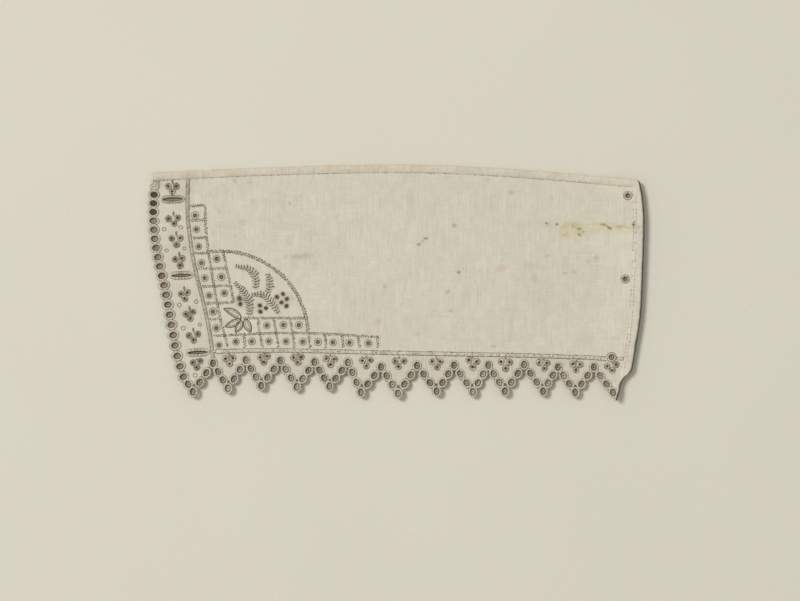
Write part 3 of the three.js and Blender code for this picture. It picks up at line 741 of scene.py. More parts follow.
class Bench:
    """Builds one material, a node at a time."""

    # The sockets of a mix node that hold its colours
    MIX_FIRST, MIX_SECOND, MIX_RESULT = 6, 7, 2
    SHEEN_ROUGHNESS = 0.6
    SHINE = 0.15

    def __init__(self, name: str) -> None:
        """Starts a material.

        Args:
            name: its name.
        """
        self.material = bpy.data.materials.new(name)
        self.material.use_nodes = True
        self.tree = self.material.node_tree
        self.shader = self.tree.nodes["Principled BSDF"]
        self.space = self.tree.nodes.new("ShaderNodeTexCoord").outputs["Object"]

    def node(self, kind: str, feeds: dict, **settings: object) -> bpy.types.Node:
        """Adds a node.

        Args:
            kind: the node's type.
            feeds: what each input takes, a socket or a value, by its name or number.
            settings: properties of the node.

        Returns:
            The node.
        """
        made = self.tree.nodes.new(kind)
        for name, value in settings.items():
            setattr(made, name, value)
        for name, value in feeds.items():
            if isinstance(value, Socket):
                self.tree.links.new(value, made.inputs[name])
            else:
                made.inputs[name].default_value = value
        return made

    def noise(
        self, stretch: Sequence[float], detail: float = 2.0, roughness: float = 0.5,
    ) -> Socket:
        """Adds noise.

        Args:
            stretch: how often a patch fits in one metre, along each axis.
            detail: how many finer layers it has.
            roughness: how strong these are.

        Returns:
            A number from 0 to 1.
        """
        mapped = self.node("ShaderNodeMapping", {"Vector": self.space, "Scale": tuple(stretch)})
        feeds = {"Vector": mapped.outputs["Vector"], "Scale": 1.0, "Detail": detail, "Roughness": roughness}
        return self.node("ShaderNodeTexNoise", feeds).outputs["Fac"]

    def between(
        self, value: object, ends: Pair, out: Pair,
    ) -> Socket:
        """Maps a range of values to another, and holds it at its ends."""
        feeds = {"Value": value, "From Min": ends[0], "From Max": ends[1], "To Min": out[0], "To Max": out[1]}
        return self.node("ShaderNodeMapRange", feeds).outputs["Result"]

    def sum(self, first: object, second: object, operation: str = "ADD") -> Socket:
        """Joins two numbers by an operation."""
        return self.node("ShaderNodeMath", {0: first, 1: second}, operation=operation).outputs[0]

    def product(self, *values: object) -> Socket:
        """Multiplies several numbers.

        Args:
            values: the numbers, or the sockets that give them.

        Returns:
            Their product.
        """
        whole = values[0]
        for value in values[1:]:
            whole = self.sum(whole, value, "MULTIPLY")
        return whole

    def patches(
        self, stretch: Sequence[float], ends: Pair, out: Pair,
        detail: float = 2.0, roughness: float = 0.5,
    ) -> Socket:
        """Noise whose values between two ends are mapped to a range."""
        return self.between(self.noise(stretch, detail, roughness), ends, out)

    def scaled(self, colour: object, share: object) -> Socket:
        """Multiplies a colour by a number."""
        return self.node("ShaderNodeVectorMath", {0: colour, "Scale": share}, operation="SCALE").outputs[0]

    def times(self, first: object, second: object) -> Socket:
        """Multiplies two colours."""
        return self.node("ShaderNodeVectorMath", {0: first, 1: second}, operation="MULTIPLY").outputs[0]

    def mixed(self, share: object, first: Sequence[float], second: Sequence[float]) -> Socket:
        """Goes from one colour to another."""
        feeds = {"Factor": share, self.MIX_FIRST: (*first, 1.0), self.MIX_SECOND: (*second, 1.0)}
        return self.node("ShaderNodeMix", feeds, data_type="RGBA").outputs[self.MIX_RESULT]

    def painted(self, layer: str) -> Socket:
        """The colour that a piece's points hold."""
        return self.node("ShaderNodeAttribute", {}, attribute_name=layer).outputs["Color"]

    def wave(self, direction: str, period: float) -> Socket:
        """Adds even ridges.

        Args:
            direction: the axis across them.
            period: the distance from ridge to ridge, in millimetres.

        Returns:
            Their height, from 0 to 1.
        """
        scale = 2 * math.pi / (20 * period * MM)
        feeds = {"Vector": self.space, "Scale": scale, "Distortion": 0.0, "Detail": 0.0}
        return self.node("ShaderNodeTexWave", feeds, bands_direction=direction).outputs["Fac"]

    def finish(
        self, colour: Socket, relief: Socket, depth: float,
        strength: float, roughness: float, sheen: float,
    ) -> Material:
        """Joins colour and relief to the shader.

        Args:
            colour: the base colour.
            relief: the height of the surface, from 0 to 1.
            depth: what 1 stands for, in millimetres.
            strength: how much of the relief shows.
            roughness: the shader's roughness.
            sheen: the weight of the fibres' sheen.

        Returns:
            The material.
        """
        bump = self.node("ShaderNodeBump", {"Height": relief, "Distance": depth * MM, "Strength": strength})
        self.tree.links.new(colour, self.shader.inputs["Base Color"])
        self.tree.links.new(bump.outputs["Normal"], self.shader.inputs["Normal"])
        self.shader.inputs["Roughness"].default_value = roughness
        self.shader.inputs["Sheen Weight"].default_value = sheen
        self.shader.inputs["Sheen Roughness"].default_value = self.SHEEN_ROUGHNESS
        self.shader.inputs["Specular IOR Level"].default_value = self.SHINE
        return self.material


@dataclass(frozen=True)
class CottonFinish:
    """Plain woven cotton: threads both ways, with slubs, clouds and soil."""

    name: str = "plain_cotton"
    clean: Triple = (209, 203, 184)
    warm: Triple = (207, 200, 181)
    threads_per_metre: float = 1500.0
    thread_length: float = 70.0
    contrast: float = 0.06
    weave_period: float = 0.30
    clouds: float = 0.045
    mottle: float = 0.02

    @staticmethod
    def _swing(reach: float) -> Pair:
        """The factors that lie as far below 1 as above it."""
        return 1 - reach, 1 + reach

    def build(self) -> Material:
        """Builds the material.

        Returns:
            The material.
        """
        bench = Bench(self.name)
        across, along = self.threads_per_metre, self.thread_length
        warp = bench.noise((across, along, along), 3.0, 0.6)
        weft = bench.noise((along, across, along), 3.0, 0.6)
        # Patches where the threads of one direction stand out over the other
        lead = bench.patches((60, 60, 60), (0.42, 0.58), (0.0, 1.0))
        rest = bench.sum(1.0, lead, "SUBTRACT")
        shown = bench.sum(
            bench.product(warp, bench.sum(rest, 0.8)), bench.product(weft, bench.sum(lead, 0.1)),
        )
        threads = bench.between(shown, (0.68, 1.22), self._swing(self.contrast))
        slubs = bench.patches((0.55 * across, 1.3 * along, along), (0.62, 0.76), (1.0, 0.94))
        patches = bench.product(
            bench.patches((240, 200, 240), (0.3, 0.7), self._swing(self.clouds), 4.0, 0.65),
            bench.patches((70, 50, 70), (0.3, 0.7), self._swing(0.6 * self.clouds), 3.0, 0.6),
            bench.patches((750, 650, 750), (0.35, 0.65), self._swing(self.mottle)),
        )
        smudges = bench.patches((330, 260, 330), (0.64, 0.78), (1.0, 0.90))
        specks = bench.patches((1300, 1300, 1300), (0.74, 0.82), (1.0, 0.80), 1.0)
        cloud = bench.patches((22, 26, 22), (0.35, 0.65), (0.0, 1.0), 3.0)
        ground = bench.mixed(cloud, linear(self.clean), linear(self.warm))
        colour = bench.scaled(ground, bench.product(threads, slubs, patches, smudges, specks))
        colour = bench.times(colour, bench.painted("soil"))
        ridges = bench.sum(bench.wave("X", self.weave_period), bench.wave("Y", self.weave_period))
        relief = bench.sum(bench.product(ridges, 0.25), bench.product(bench.sum(warp, weft), 0.45))
        return bench.finish(colour, relief, 0.08, 0.6, 0.92, 0.08)


@dataclass(frozen=True)
class ThreadFinish:
    """Embroidery thread: the dye of its piece, with a fine uneven lustre."""

    name: str = "embroidery_thread"

    def build(self) -> Material:
        """Builds the material.

        Returns:
            The material.
        """
        bench = Bench(self.name)
        fibres = bench.noise((2600, 2600, 2600), 3.0, 0.65)
        wear = bench.patches((240, 240, 240), (0.3, 0.7), (0.90, 1.08), 3.0)
        shade = bench.product(bench.between(fibres, (0.3, 0.7), (0.88, 1.10)), wear)
        colour = bench.scaled(bench.painted("dye"), shade)
        return bench.finish(colour, fibres, 0.06, 0.7, 0.85, 0.05)


@dataclass(frozen=True)
class PaperFinish:
    """The pale surface that the cuff lies on."""

    name: str = "pale_surface"
    tone: Triple = (216, 211, 194)

    def build(self) -> Material:
        """Builds the material.

        Returns:
            The material.
        """
        bench = Bench(self.name)
        grain = bench.noise((700, 700, 700), 3.0)
        clouds = bench.patches((9, 9, 9), (0.3, 0.7), (0.99, 1.01))
        shade = bench.product(bench.between(grain, (0.3, 0.7), (0.985, 1.015)), clouds)
        colour = bench.scaled(linear(self.tone), shade)
        return bench.finish(colour, grain, 0.04, 0.3, 0.95, 0.0)


@dataclass
class Workroom:
    """What every part of the cuff is made with: its lie, its soil, its stitches and its finishes."""

    lie: Lie
    soil: Soil
    forms: Forms
    finishes: dict[Slot, Material]

    def dress(self, piece: Piece, slot: Slot, *nodes: str) -> Piece:
        """Gives a piece its finish and its place in the frame.

        Args:
            piece: the finished piece.
            slot: the record's slot that it takes its finish from.
            nodes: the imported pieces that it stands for.

        Returns:
            The piece.
        """
        piece.data.materials.clear()
        piece.data.materials.append(self.finishes[slot])
        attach(piece, BODY)
        if nodes:
            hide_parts(*nodes)
        stands_for = ", ".join(nodes) or "no packed piece"
        LOG.info("%s: %d faces, for %s", piece.name, len(piece.data.polygons), stands_for)
        return piece


# The cloth


@dataclass
class ClothLayer:
    """One flat layer of cotton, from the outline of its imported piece."""

    node: str
    spacing: float = 0.85
    # The spacing in a small stain, up to what reach a stain is small, and how far past it the spacing holds
    fine: float = 0.42
    small_stain: float = 7.0
    past_stain: float = 1.3
    # Two places are never closer than about this
    closest: float = 0.3
    base: Triple = (1.0, 1.0, 1.0)
    face: float = 0.95
    thickness: float = 0.85
    underlap: float = 0.4
    # The least share of its box that its area is said to be
    least_cover: float = 0.3
    eyelets: Sequence[Triple] = ()
    eyelet_sides: int = 12
    # The folded edges that are sewn to it
    edges: Sequence[Piece] = ()

    def _wells(self, plan: Plan) -> list[Array]:
        """The holes of the layer: those of its plan and its own small eyelets.

        Args:
            plan: the layer's plan.

        Returns:
            The corners of each hole.
        """
        circle = on_circle(whole_turn(self.eyelet_sides))
        small = [circle * radius + (x, y) for x, y, radius in self.eyelets]
        return [dense_loop(hole[::-1], self.spacing) for hole in plan.holes] + small

    def _grid(self, outline: Array, soil: Soil) -> Array:
        """Finds places inside the outline, closer together where there are small stains.

        Args:
            outline: the corners of the layer's outline.
            soil: what holds the stains.

        Returns:
            X and Y of the places, a row each.
        """
        low, high = outline.min(axis=0), outline.max(axis=0)
        across, up = (np.arange(a, b, self.spacing) for a, b in zip(low, high))
        x, y = (values.ravel() for values in np.meshgrid(across, up))
        stagger = self.spacing * 0.25
        places = [np.stack([x + stagger * np.sin(7.1 * y), y + stagger * np.sin(5.3 * x)], axis=1)]
        for stain in soil.stains:
            if max(stain.along, stain.across) < self.small_stain:
                rim = self.past_stain
                ticks = (np.arange(-rim, rim, self.fine / reach) for reach in (stain.along, stain.across))
                sx, sy = (values.ravel() for values in np.meshgrid(*ticks))
                near = np.hypot(sx, sy) < rim
                spot = np.stack([sx[near] * stain.along, sy[near] * stain.across], axis=1)
                places.append(turned(spot, stain.turn) + (stain.x, stain.y))
        places = np.concatenate(places)
        places = places[is_inside(places, outline)]
        # Where two grids meet, one place is kept of those that nearly coincide
        _, kept = np.unique(np.rint(places / self.closest).astype(int), axis=0, return_index=True)
        return places[np.sort(kept)]

    def build(self, room: Workroom) -> Piece:
        """Fills the outline with a fine mesh, bends it and gives it its thickness.

        Args:
            room: what it is made with.

        Returns:
            The dressed piece.
        """
        plan = Plan.of(self.node).grown(self.underlap)
        outline = dense_loop(plan.outline, 0.8 * self.spacing)
        wells = self._wells(plan)
        inner = self._grid(outline, room.soil)
        edge = np.concatenate([outline, *wells])
        inner = inner[distances(inner, edge) > self.closest]
        for well in wells:
            inner = inner[~is_inside(inner, well)]
        loops, count = [], 0
        for loop in (outline, *wells):
            loops.append(list(range(count, count + len(loop))))
            count += len(loop)
        places = [Vector(place) for place in np.concatenate([edge, inner])]
        made, _, faces, _, _, origins = delaunay_2d_cdt(places, [], loops, 1, 1e-5)
        kept = [face for face, origin in zip(faces, origins) if list(origin) == [0]]
        flat = np.array([place[:] for place in made])
        used = np.unique(np.array(kept))
        renumber = np.full(len(flat), -1)
        renumber[used] = np.arange(len(used))
        flat = flat[used]
        kept = renumber[np.array(kept)].tolist()
        height = room.lie.height(flat[:, 0], flat[:, 1]) + self.face
        tones = room.soil.tones(flat[:, 0], flat[:, 1], self.base)
        piece = mesh_piece(f"{self.node}_cloth", lifted(flat, height), kept, tones, "soil")
        wall = piece.modifiers.new("thickness", "SOLIDIFY")
        wall.thickness = self.thickness * MM
        wall.offset = -1.0
        bpy.ops.object.modifier_apply(modifier=wall.name)
        bpy.ops.object.shade_smooth_by_angle(angle=math.radians(CLOTH_SHARP))
        self._declare(plan)
        return room.dress(piece, Slot.COTTON, self.node)

    def _declare(self, plan: Plan) -> None:
        """Measures the size and the area of its cut, which nothing uses further.

        Args:
            plan: its plan.
        """
        size = (plan.outline.max(axis=0) - plan.outline.min(axis=0)) * MM
        area = (signed_area(plan.outline) + sum(signed_area(hole) for hole in plan.holes)) * MM**2
        area = max(area, self.least_cover * float(size[0] * size[1]))


# The fold of the plain hem, from the sleeve edge to the last tip: Y, X
HEM_FOLD = (
    (47.0, 111.6), (43.0, 112.5), (40.0, 113.1), (34.0, 113.7), (27.0, 114.0), (5.0, 113.4),
    (-15.0, 112.4), (-29.0, 110.4), (-36.0, 109.3), (-39.6, 108.6), (-41.9, 107.3), (-44.2, 104.7),
    (-46.9, 103.2), (-50.6, 102.5), (-54.2, 101.3),
)


@dataclass
class FoldedStrip:
    """A doubled edge of cotton: rounded at its fold, and sewn down along its other side."""

    node: str
    runs_along: int
    step: float = 0.8
    height: float = 1.6
    lap: float = 0.3
    pucker: float = 0.06
    pucker_period: float = 2.3
    corner: float = 0.0
    past: float = 0.0
    # How much more the strip laps round its foot, where it closes the cloth of the last point
    foot: float = 0.0
    foot_lap: float = 0.0
    # Where the fold runs, by its place along the strip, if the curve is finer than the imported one
    fold_rows: Sequence[Pair] = ()
    base: Triple = (1.0, 1.0, 1.0)
    # The colour factor near the fold: mild dirt on the binding, and on the hem painted shade, a dark line
    # where a contact shadow runs along its edge
    fold_dirt_and_shade: Triple = (1.0, 1.0, 1.0)
    fold_dirt_and_shade_reach: float = 0.8
    # How far its ends stay inside the plan, and how unevenly its fold runs: reach and length
    inset: float = 0.05
    unevenness: Pair = (0.07, 1.7)
    # The height of its end faces, and the height that the section closes to, as shares
    closed: float = 0.35
    middle: float = 0.45
    fold_dirt_and_shade_fade: float = 0.25
    # The section from its sewn side to its fold: share of the width, share of the height
    SECTION = (
        (0.0, 0.55), (0.02, 0.66), (0.10, 0.80), (0.22, 0.90), (0.38, 0.97), (0.56, 1.0), (0.74, 0.99),
        (0.84, 0.94), (0.89, 0.88), (0.97, 0.72), (1.0, 0.48), (0.97, 0.22), (0.86, 0.04), (0.5, 0.0),
        (0.12, 0.0), (0.0, 0.2),
    )

    def build(self, room: Workroom) -> Piece:
        """Sweeps the section along the edge.

        Args:
            room: what it is made with.

        Returns:
            The dressed piece.
        """
        outline = Plan.of(self.node).outline
        ticks = outline[:, self.runs_along]
        first, last = ticks.min() + self.inset, ticks.max() - self.inset
        stations = np.linspace(first, last + self.past, round((last + self.past - first) / self.step))
        sewn, fold = np.array([crossings(outline, self.runs_along, min(place, last)) for place in stations]).T
        section = np.array(self.SECTION)
        sewn = sewn - self.lap - self.foot_lap * np.exp(-((stations - self.foot) ** 2))
        if self.fold_rows:
            curve = smooth_line(self.fold_rows, 0.5)
            fold = np.interp(stations, curve[::-1, 0], curve[::-1, 1])
        reach, length = self.unevenness
        fold = fold + reach * ripple(stations, fold, length)
        if self.corner:
            turn = np.clip(1 - (stations[-1] - stations) / self.corner, 0, 1)
            fold = fold - self.corner * (1 - np.sqrt(1 - turn**2))
        across = sewn[:, None] + section[None, :, 0] * (fold - sewn)[:, None]
        phase = stations / self.pucker_period * 2 * math.pi + 1.5 * ripple(stations, sewn, 3.1)
        top = (section[:, 1] > 0.5) * (1 - section[:, 0])
        rise = self.height * section[None, :, 1] + self.pucker * np.sin(phase)[:, None] * top[None]
        order = np.arange(len(stations))
        closing = np.minimum(1.0, np.minimum(order, order[::-1]) / 2 + self.closed)
        middle = self.height * self.middle
        rise = middle + (rise - middle) * closing[:, None]
        along = np.broadcast_to(stations[:, None], across.shape)
        x, y = (along, across) if self.runs_along == 0 else (across, along)
        points = np.stack([x, y, rise], axis=2).reshape(-1, 3)
        points[:, 2] += room.lie.height(points[:, 0], points[:, 1])
        count, sides = len(stations), len(section)
        ring = np.arange(sides)
        ends = np.array([ring, (count - 1) * sides + ring[::-1]])
        faces = tube_faces(count, sides).tolist() + ends.tolist()
        tones = room.soil.tones(points[:, 0], points[:, 1], self.base)
        # Darkens the colour towards the fold: dirt on the binding, painted shade along the hem's edge
        from_fold = (1 - section[None, :, 0]) * np.abs(fold - sewn)[:, None]
        dirt_and_shade = np.clip((self.fold_dirt_and_shade_reach - from_fold) / self.fold_dirt_and_shade_fade, 0, 1).ravel()
        dirt_and_shade = dirt_and_shade * (0.92 + 0.08 * ripple(points[:, 0], points[:, 1], 3.5, 2.0))
        tones *= 1 - dirt_and_shade[:, None] * (1 - np.array(self.fold_dirt_and_shade))
        piece = mesh_piece(f"{self.node}_fold", points, faces, tones, "soil")
        bpy.ops.object.mode_set(mode="EDIT")
        bpy.ops.mesh.select_all(action="SELECT")
        bpy.ops.mesh.normals_make_consistent(inside=False)
        bpy.ops.object.mode_set(mode="OBJECT")
        return room.dress(piece, Slot.FOLDED, self.node)


# The needlework

# The height at which stitches lie on the cloth
FACE = 0.98
# Edges of a stitch that bend more than this many degrees stay sharp
THREAD_SHARP = 60.0
# The thickness of a thread at its open ends
TAPER = 0.35


class Work:
    """A piece of needlework in the making: copies of the forms, kept as arrays and joined at the end."""

    def __init__(self, room: Workroom, chance: int | np.random.Generator) -> None:
        """Starts with nothing laid.

        Args:
            room: what it is made with.
            chance: the seed, or the random numbers of the piece before.
        """
        self.room = room
        self.rng = np.random.default_rng(chance)
        self.points: list[Array] = []
        self.dyes: list[Array] = []
        self.faces: list = []
        self.count = 0

    def varied(self, dye: Array, count: int, spread: float) -> Array:
        """Copies one colour with small differences of lightness."""
        return dye[None] * (1 + spread * self.rng.uniform(-1, 1, (count, 1)))

    def add(self, points: Array, form_faces: dict[int, Array], dyes: Array) -> None:
        """Adds copies of one form.

        Args:
            points: the points of each copy, as copies by points by 3.
            form_faces: the form's faces, by their number of corners.
            dyes: the colour of each copy, or one for all.
        """
        copies, each = points.shape[:2]
        firsts = self.count + each * np.arange(copies)
        for rows in form_faces.values():
            self.faces.extend((rows[None] + firsts[:, None, None]).reshape(-1, rows.shape[1]).tolist())
        self.points.append(points.reshape(-1, 3))
        spread = np.broadcast_to(np.asarray(dyes).reshape(-1, 1, 3), (copies, each, 3))
        self.dyes.append(spread.reshape(-1, 3))
        self.count += copies * each

    def stitches(
        self, starts: Array, ends: Array, widths: Array | float, height: float,
        dyes: Array, spread: float = 0.0, linked: bool = False,
    ) -> None:
        """Lays a stitch from each start to its end.

        Args:
            starts: X, Y and Z of the first ends, a row each.
            ends: the same of the other ends.
            widths: the width of each stitch, or one for all.
            height: how high the stitches are.
            dyes: the colour of each stitch, or one for all.
            spread: how far the lightness of one colour varies from stitch to stitch.
            linked: whether they are links of a chain.
        """
        form = self.room.forms.link if linked else self.room.forms.grain
        along = ends - starts
        side, above = side_and_above(unit(along))
        wide = np.broadcast_to(widths, len(starts))[:, None] * side
        p = form.points[None]
        points = starts[:, None] + p[..., 0:1] * along[:, None]
        points = points + p[..., 1:2] * wide[:, None] + p[..., 2:3] * (height * above)[:, None]
        self.add(points, form.faces, self.varied(dyes, len(starts), spread) if spread else dyes)

    def knots(
        self, places: Array, sizes: Array, height: float, dye: Array, spread: float = 0.0,
    ) -> None:
        """Sets low domes at places.

        Args:
            places: X, Y and Z of their feet, a row each.
            sizes: the width of each.
            height: how high they are.
            dye: their colour.
            spread: how far its lightness varies from knot to knot.
        """
        knot = self.room.forms.knot
        scale = lifted(np.column_stack([sizes, sizes]), height)
        points = places[:, None] + knot.points[None] * scale[:, None]
        self.add(points, knot.faces, self.varied(dye, len(places), spread) if spread else dye)

    def ring(
        self, centre: Sequence[float], inner: Sequence[float], outer: Sequence[float], turn: float,
        low: float, high: float, dye: Array, square: float = OVAL, fine: bool = True,
    ) -> None:
        """Fits a ring between two ovals.

        Args:
            centre: the X and Y of its middle.
            inner: the half axes of its inner edge.
            outer: the half axes of its outer edge.
            turn: how its first axis turns.
            low: the height of its underside.
            high: the height of its top.
            dye: its colour.
            square: 2 for an oval, and more for a squarer shape.
            fine: whether it takes the rounder of the two ring forms.
        """
        form = self.room.forms.hoop if fine else self.room.forms.small_hoop
        x, y, z = form.points.T
        share = (np.hypot(x, y) - 1) / Forms.HOOP_THICKNESS
        share = np.clip(0.5 + 0.5 * share, 0, 1)[:, None]
        reach = np.asarray(inner) + share * (np.asarray(outer) - np.asarray(inner))
        flat = turned(squared(np.arctan2(y, x), square) * reach, turn) + np.asarray(centre)
        rise = low + (0.5 + 0.5 * z / Forms.HOOP_THICKNESS) * (high - low)
        self.add(lifted(flat, rise)[None], form.faces, dye)

    def cord(
        self, path: Array, radius: float, dye: Array, closed: bool = False, sides: int = 5,
    ) -> None:
        """Runs a round thread along a path.

        Args:
            path: X, Y and Z of its middle, a row each.
            radius: its radius.
            dye: its colour.
            closed: whether it runs back into its start.
            sides: the sides of its section.
        """
        count, radii = len(path), np.full(len(path), radius)
        if closed:
            ahead = np.roll(path, -1, axis=0) - np.roll(path, 1, axis=0)
        else:
            ahead = np.gradient(path, axis=0)
            radii[[0, -1]] *= TAPER
        side, above = side_and_above(unit(ahead))
        angles = whole_turn(sides)[None, :, None]
        around = np.cos(angles) * side[:, None] + np.sin(angles) * above[:, None]
        points = (path[:, None] + radii[:, None, None] * around).reshape(1, -1, 3)
        faces = {4: tube_faces(count, sides, closed)[:, ::-1]}
        if not closed:
            ring = np.arange(sides)
            ends = np.array([ring, (count - 1) * sides + ring[::-1]])
            faces[sides] = np.vstack([faces[4], ends]) if sides == 4 else ends
        self.add(points, faces, dye)

    def dressed(self, name: str, *nodes: str) -> Piece:
        """Joins all that is laid into one piece that lies with the cloth, and dresses it.

        Args:
            name: the piece's name.
            nodes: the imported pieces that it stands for.

        Returns:
            The dressed piece.
        """
        points = np.concatenate(self.points)
        points[:, 2] += self.room.lie.height(points[:, 0], points[:, 1])
        piece = mesh_piece(name, points, self.faces, np.concatenate(self.dyes), "dye", THREAD_SHARP)
        return self.room.dress(piece, Slot.THREAD, *nodes)


class Motif:
    """One piece of needlework: its name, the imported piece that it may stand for, and how it is worked."""

    name: str
    seed: int

    def build(self, room: Workroom) -> Piece:
        """Works the piece and dresses it.

        Args:
            room: what it is made with.

        Returns:
            The dressed piece.
        """
        work = Work(room, self.seed)
        self.lay(work)
        node = getattr(self, "node", None)
        return work.dressed(f"{node}_{self.name}", node) if node else work.dressed(self.name)

    def lay(self, work: Work) -> None:
        """Lays the stitches, in the way of each kind."""
        raise NotImplementedError


@dataclass(frozen=True)
class Overcast:
    """How an eyelet is worked: a padded ring under close stitches, darkened as painted shade between them, a
    dark edge in the hole, partly soil and partly painted shade, and an outline at the rim's foot, partly
    painted shade.
    """

    rim: float
    spacing: float = 0.44
    stitch: float = 0.50
    low: float = 0.02
    bed: float = 1.05
    arch: float = 0.42
    lip: float = 0.30
    edge: float = 0.16
    edge_soil_and_shade_dye: Dye = Dye.BROWN
    edge_low: float = 0.2
    edge_high: float = 1.2
    outline: float = 0.24
    outline_dye: Dye = Dye.GREY
    face_dye: Dye = Dye.RIM
    spread: float = 0.10
    fine: bool = True
    square: float = OVAL
    # Where the worn threads in the hole start, as a share of its reach, and the dyes that they may have
    worn_from: float = 0.0
    worn_dyes: tuple[Dye, ...] = (Dye.GREY,)
    # Where the dark edge reaches deeper than this, it leaves no room for worn threads
    worn_depth: float = 1.5

    def lay(
        self, work: Work, hole: Opening, outer: Sequence[float], edge_share: float = 1.0, depth: float = 1.0,
    ) -> None:
        """Works one overcast eyelet round a hole.

        Args:
            work: the piece in the making.
            hole: the hole.
            outer: the half axes of the rim.
            edge_share: a factor on the lightness of its dark edge.
            depth: a factor on how far that edge reaches into the hole.
        """
        rng, inner, lip = work.rng, hole.axes, self.lip * depth
        rim = np.array(outer) * (1 + 0.02 * rng.uniform(-1, 1, 2))
        turn = hole.turn + rng.uniform(-0.05, 0.05)

        def ring(
            inside: Array, outside: Array, low: float, high: float, dye: Array,
            square: float = self.square,
        ) -> None:
            """Fits one ring round the hole."""
            work.ring(hole.centre, inside, outside, turn, low, high, dye, square, self.fine)

        # The pad at 0.6 of the face dye: painted shade between the stitches
        ring(inner + 0.03, rim - 0.12, self.low, self.bed, self.face_dye.light(0.6))
        long, short = 0.5 * (inner + rim)
        way_round = math.pi * (3 * (long + short) - math.sqrt((3 * long + short) * (long + 3 * short)))
        count = round(way_round / self.spacing)
        angles = whole_turn(count, rng.uniform(-0.22, 0.22, count))
        near = squared(angles, self.square) * (inner + 0.3 * self.edge)
        far = squared(angles + rng.uniform(-0.06, 0.06, count), OVAL) * (rim - 0.04)
        starts = lifted(turned(far, turn) + hole.centre, self.bed - 0.18)
        ends = lifted(turned(near, turn) + hole.centre, self.bed - 0.05)
        dyes = work.varied(self.face_dye.light(), count, self.spread)
        work.stitches(starts, ends, self.stitch * rng.uniform(0.85, 1.1, count), self.arch, dyes)
        # The dark edge inside the hole: partly soil, partly painted shade on the hole's wall
        ring(inner - lip, inner + self.edge, self.edge_low, self.edge_high, self.edge_soil_and_shade_dye.light(edge_share))
        if self.worn_from and depth < self.worn_depth:
            worn = self.worn_dyes[int(rng.integers(len(self.worn_dyes)))].light(rng.uniform(0.9, 1.1))
            ring(inner * self.worn_from, inner - 0.6 * lip, 0.05, 0.42, worn)
        # The outline, darker than the rim: partly painted shade where the rim meets the cloth
        half, dye = 0.5 * self.outline, self.outline_dye.light(rng.uniform(0.85, 1.2))
        ring(rim - half, rim + half, self.bed - 0.14, self.bed + 0.08, dye, OVAL)


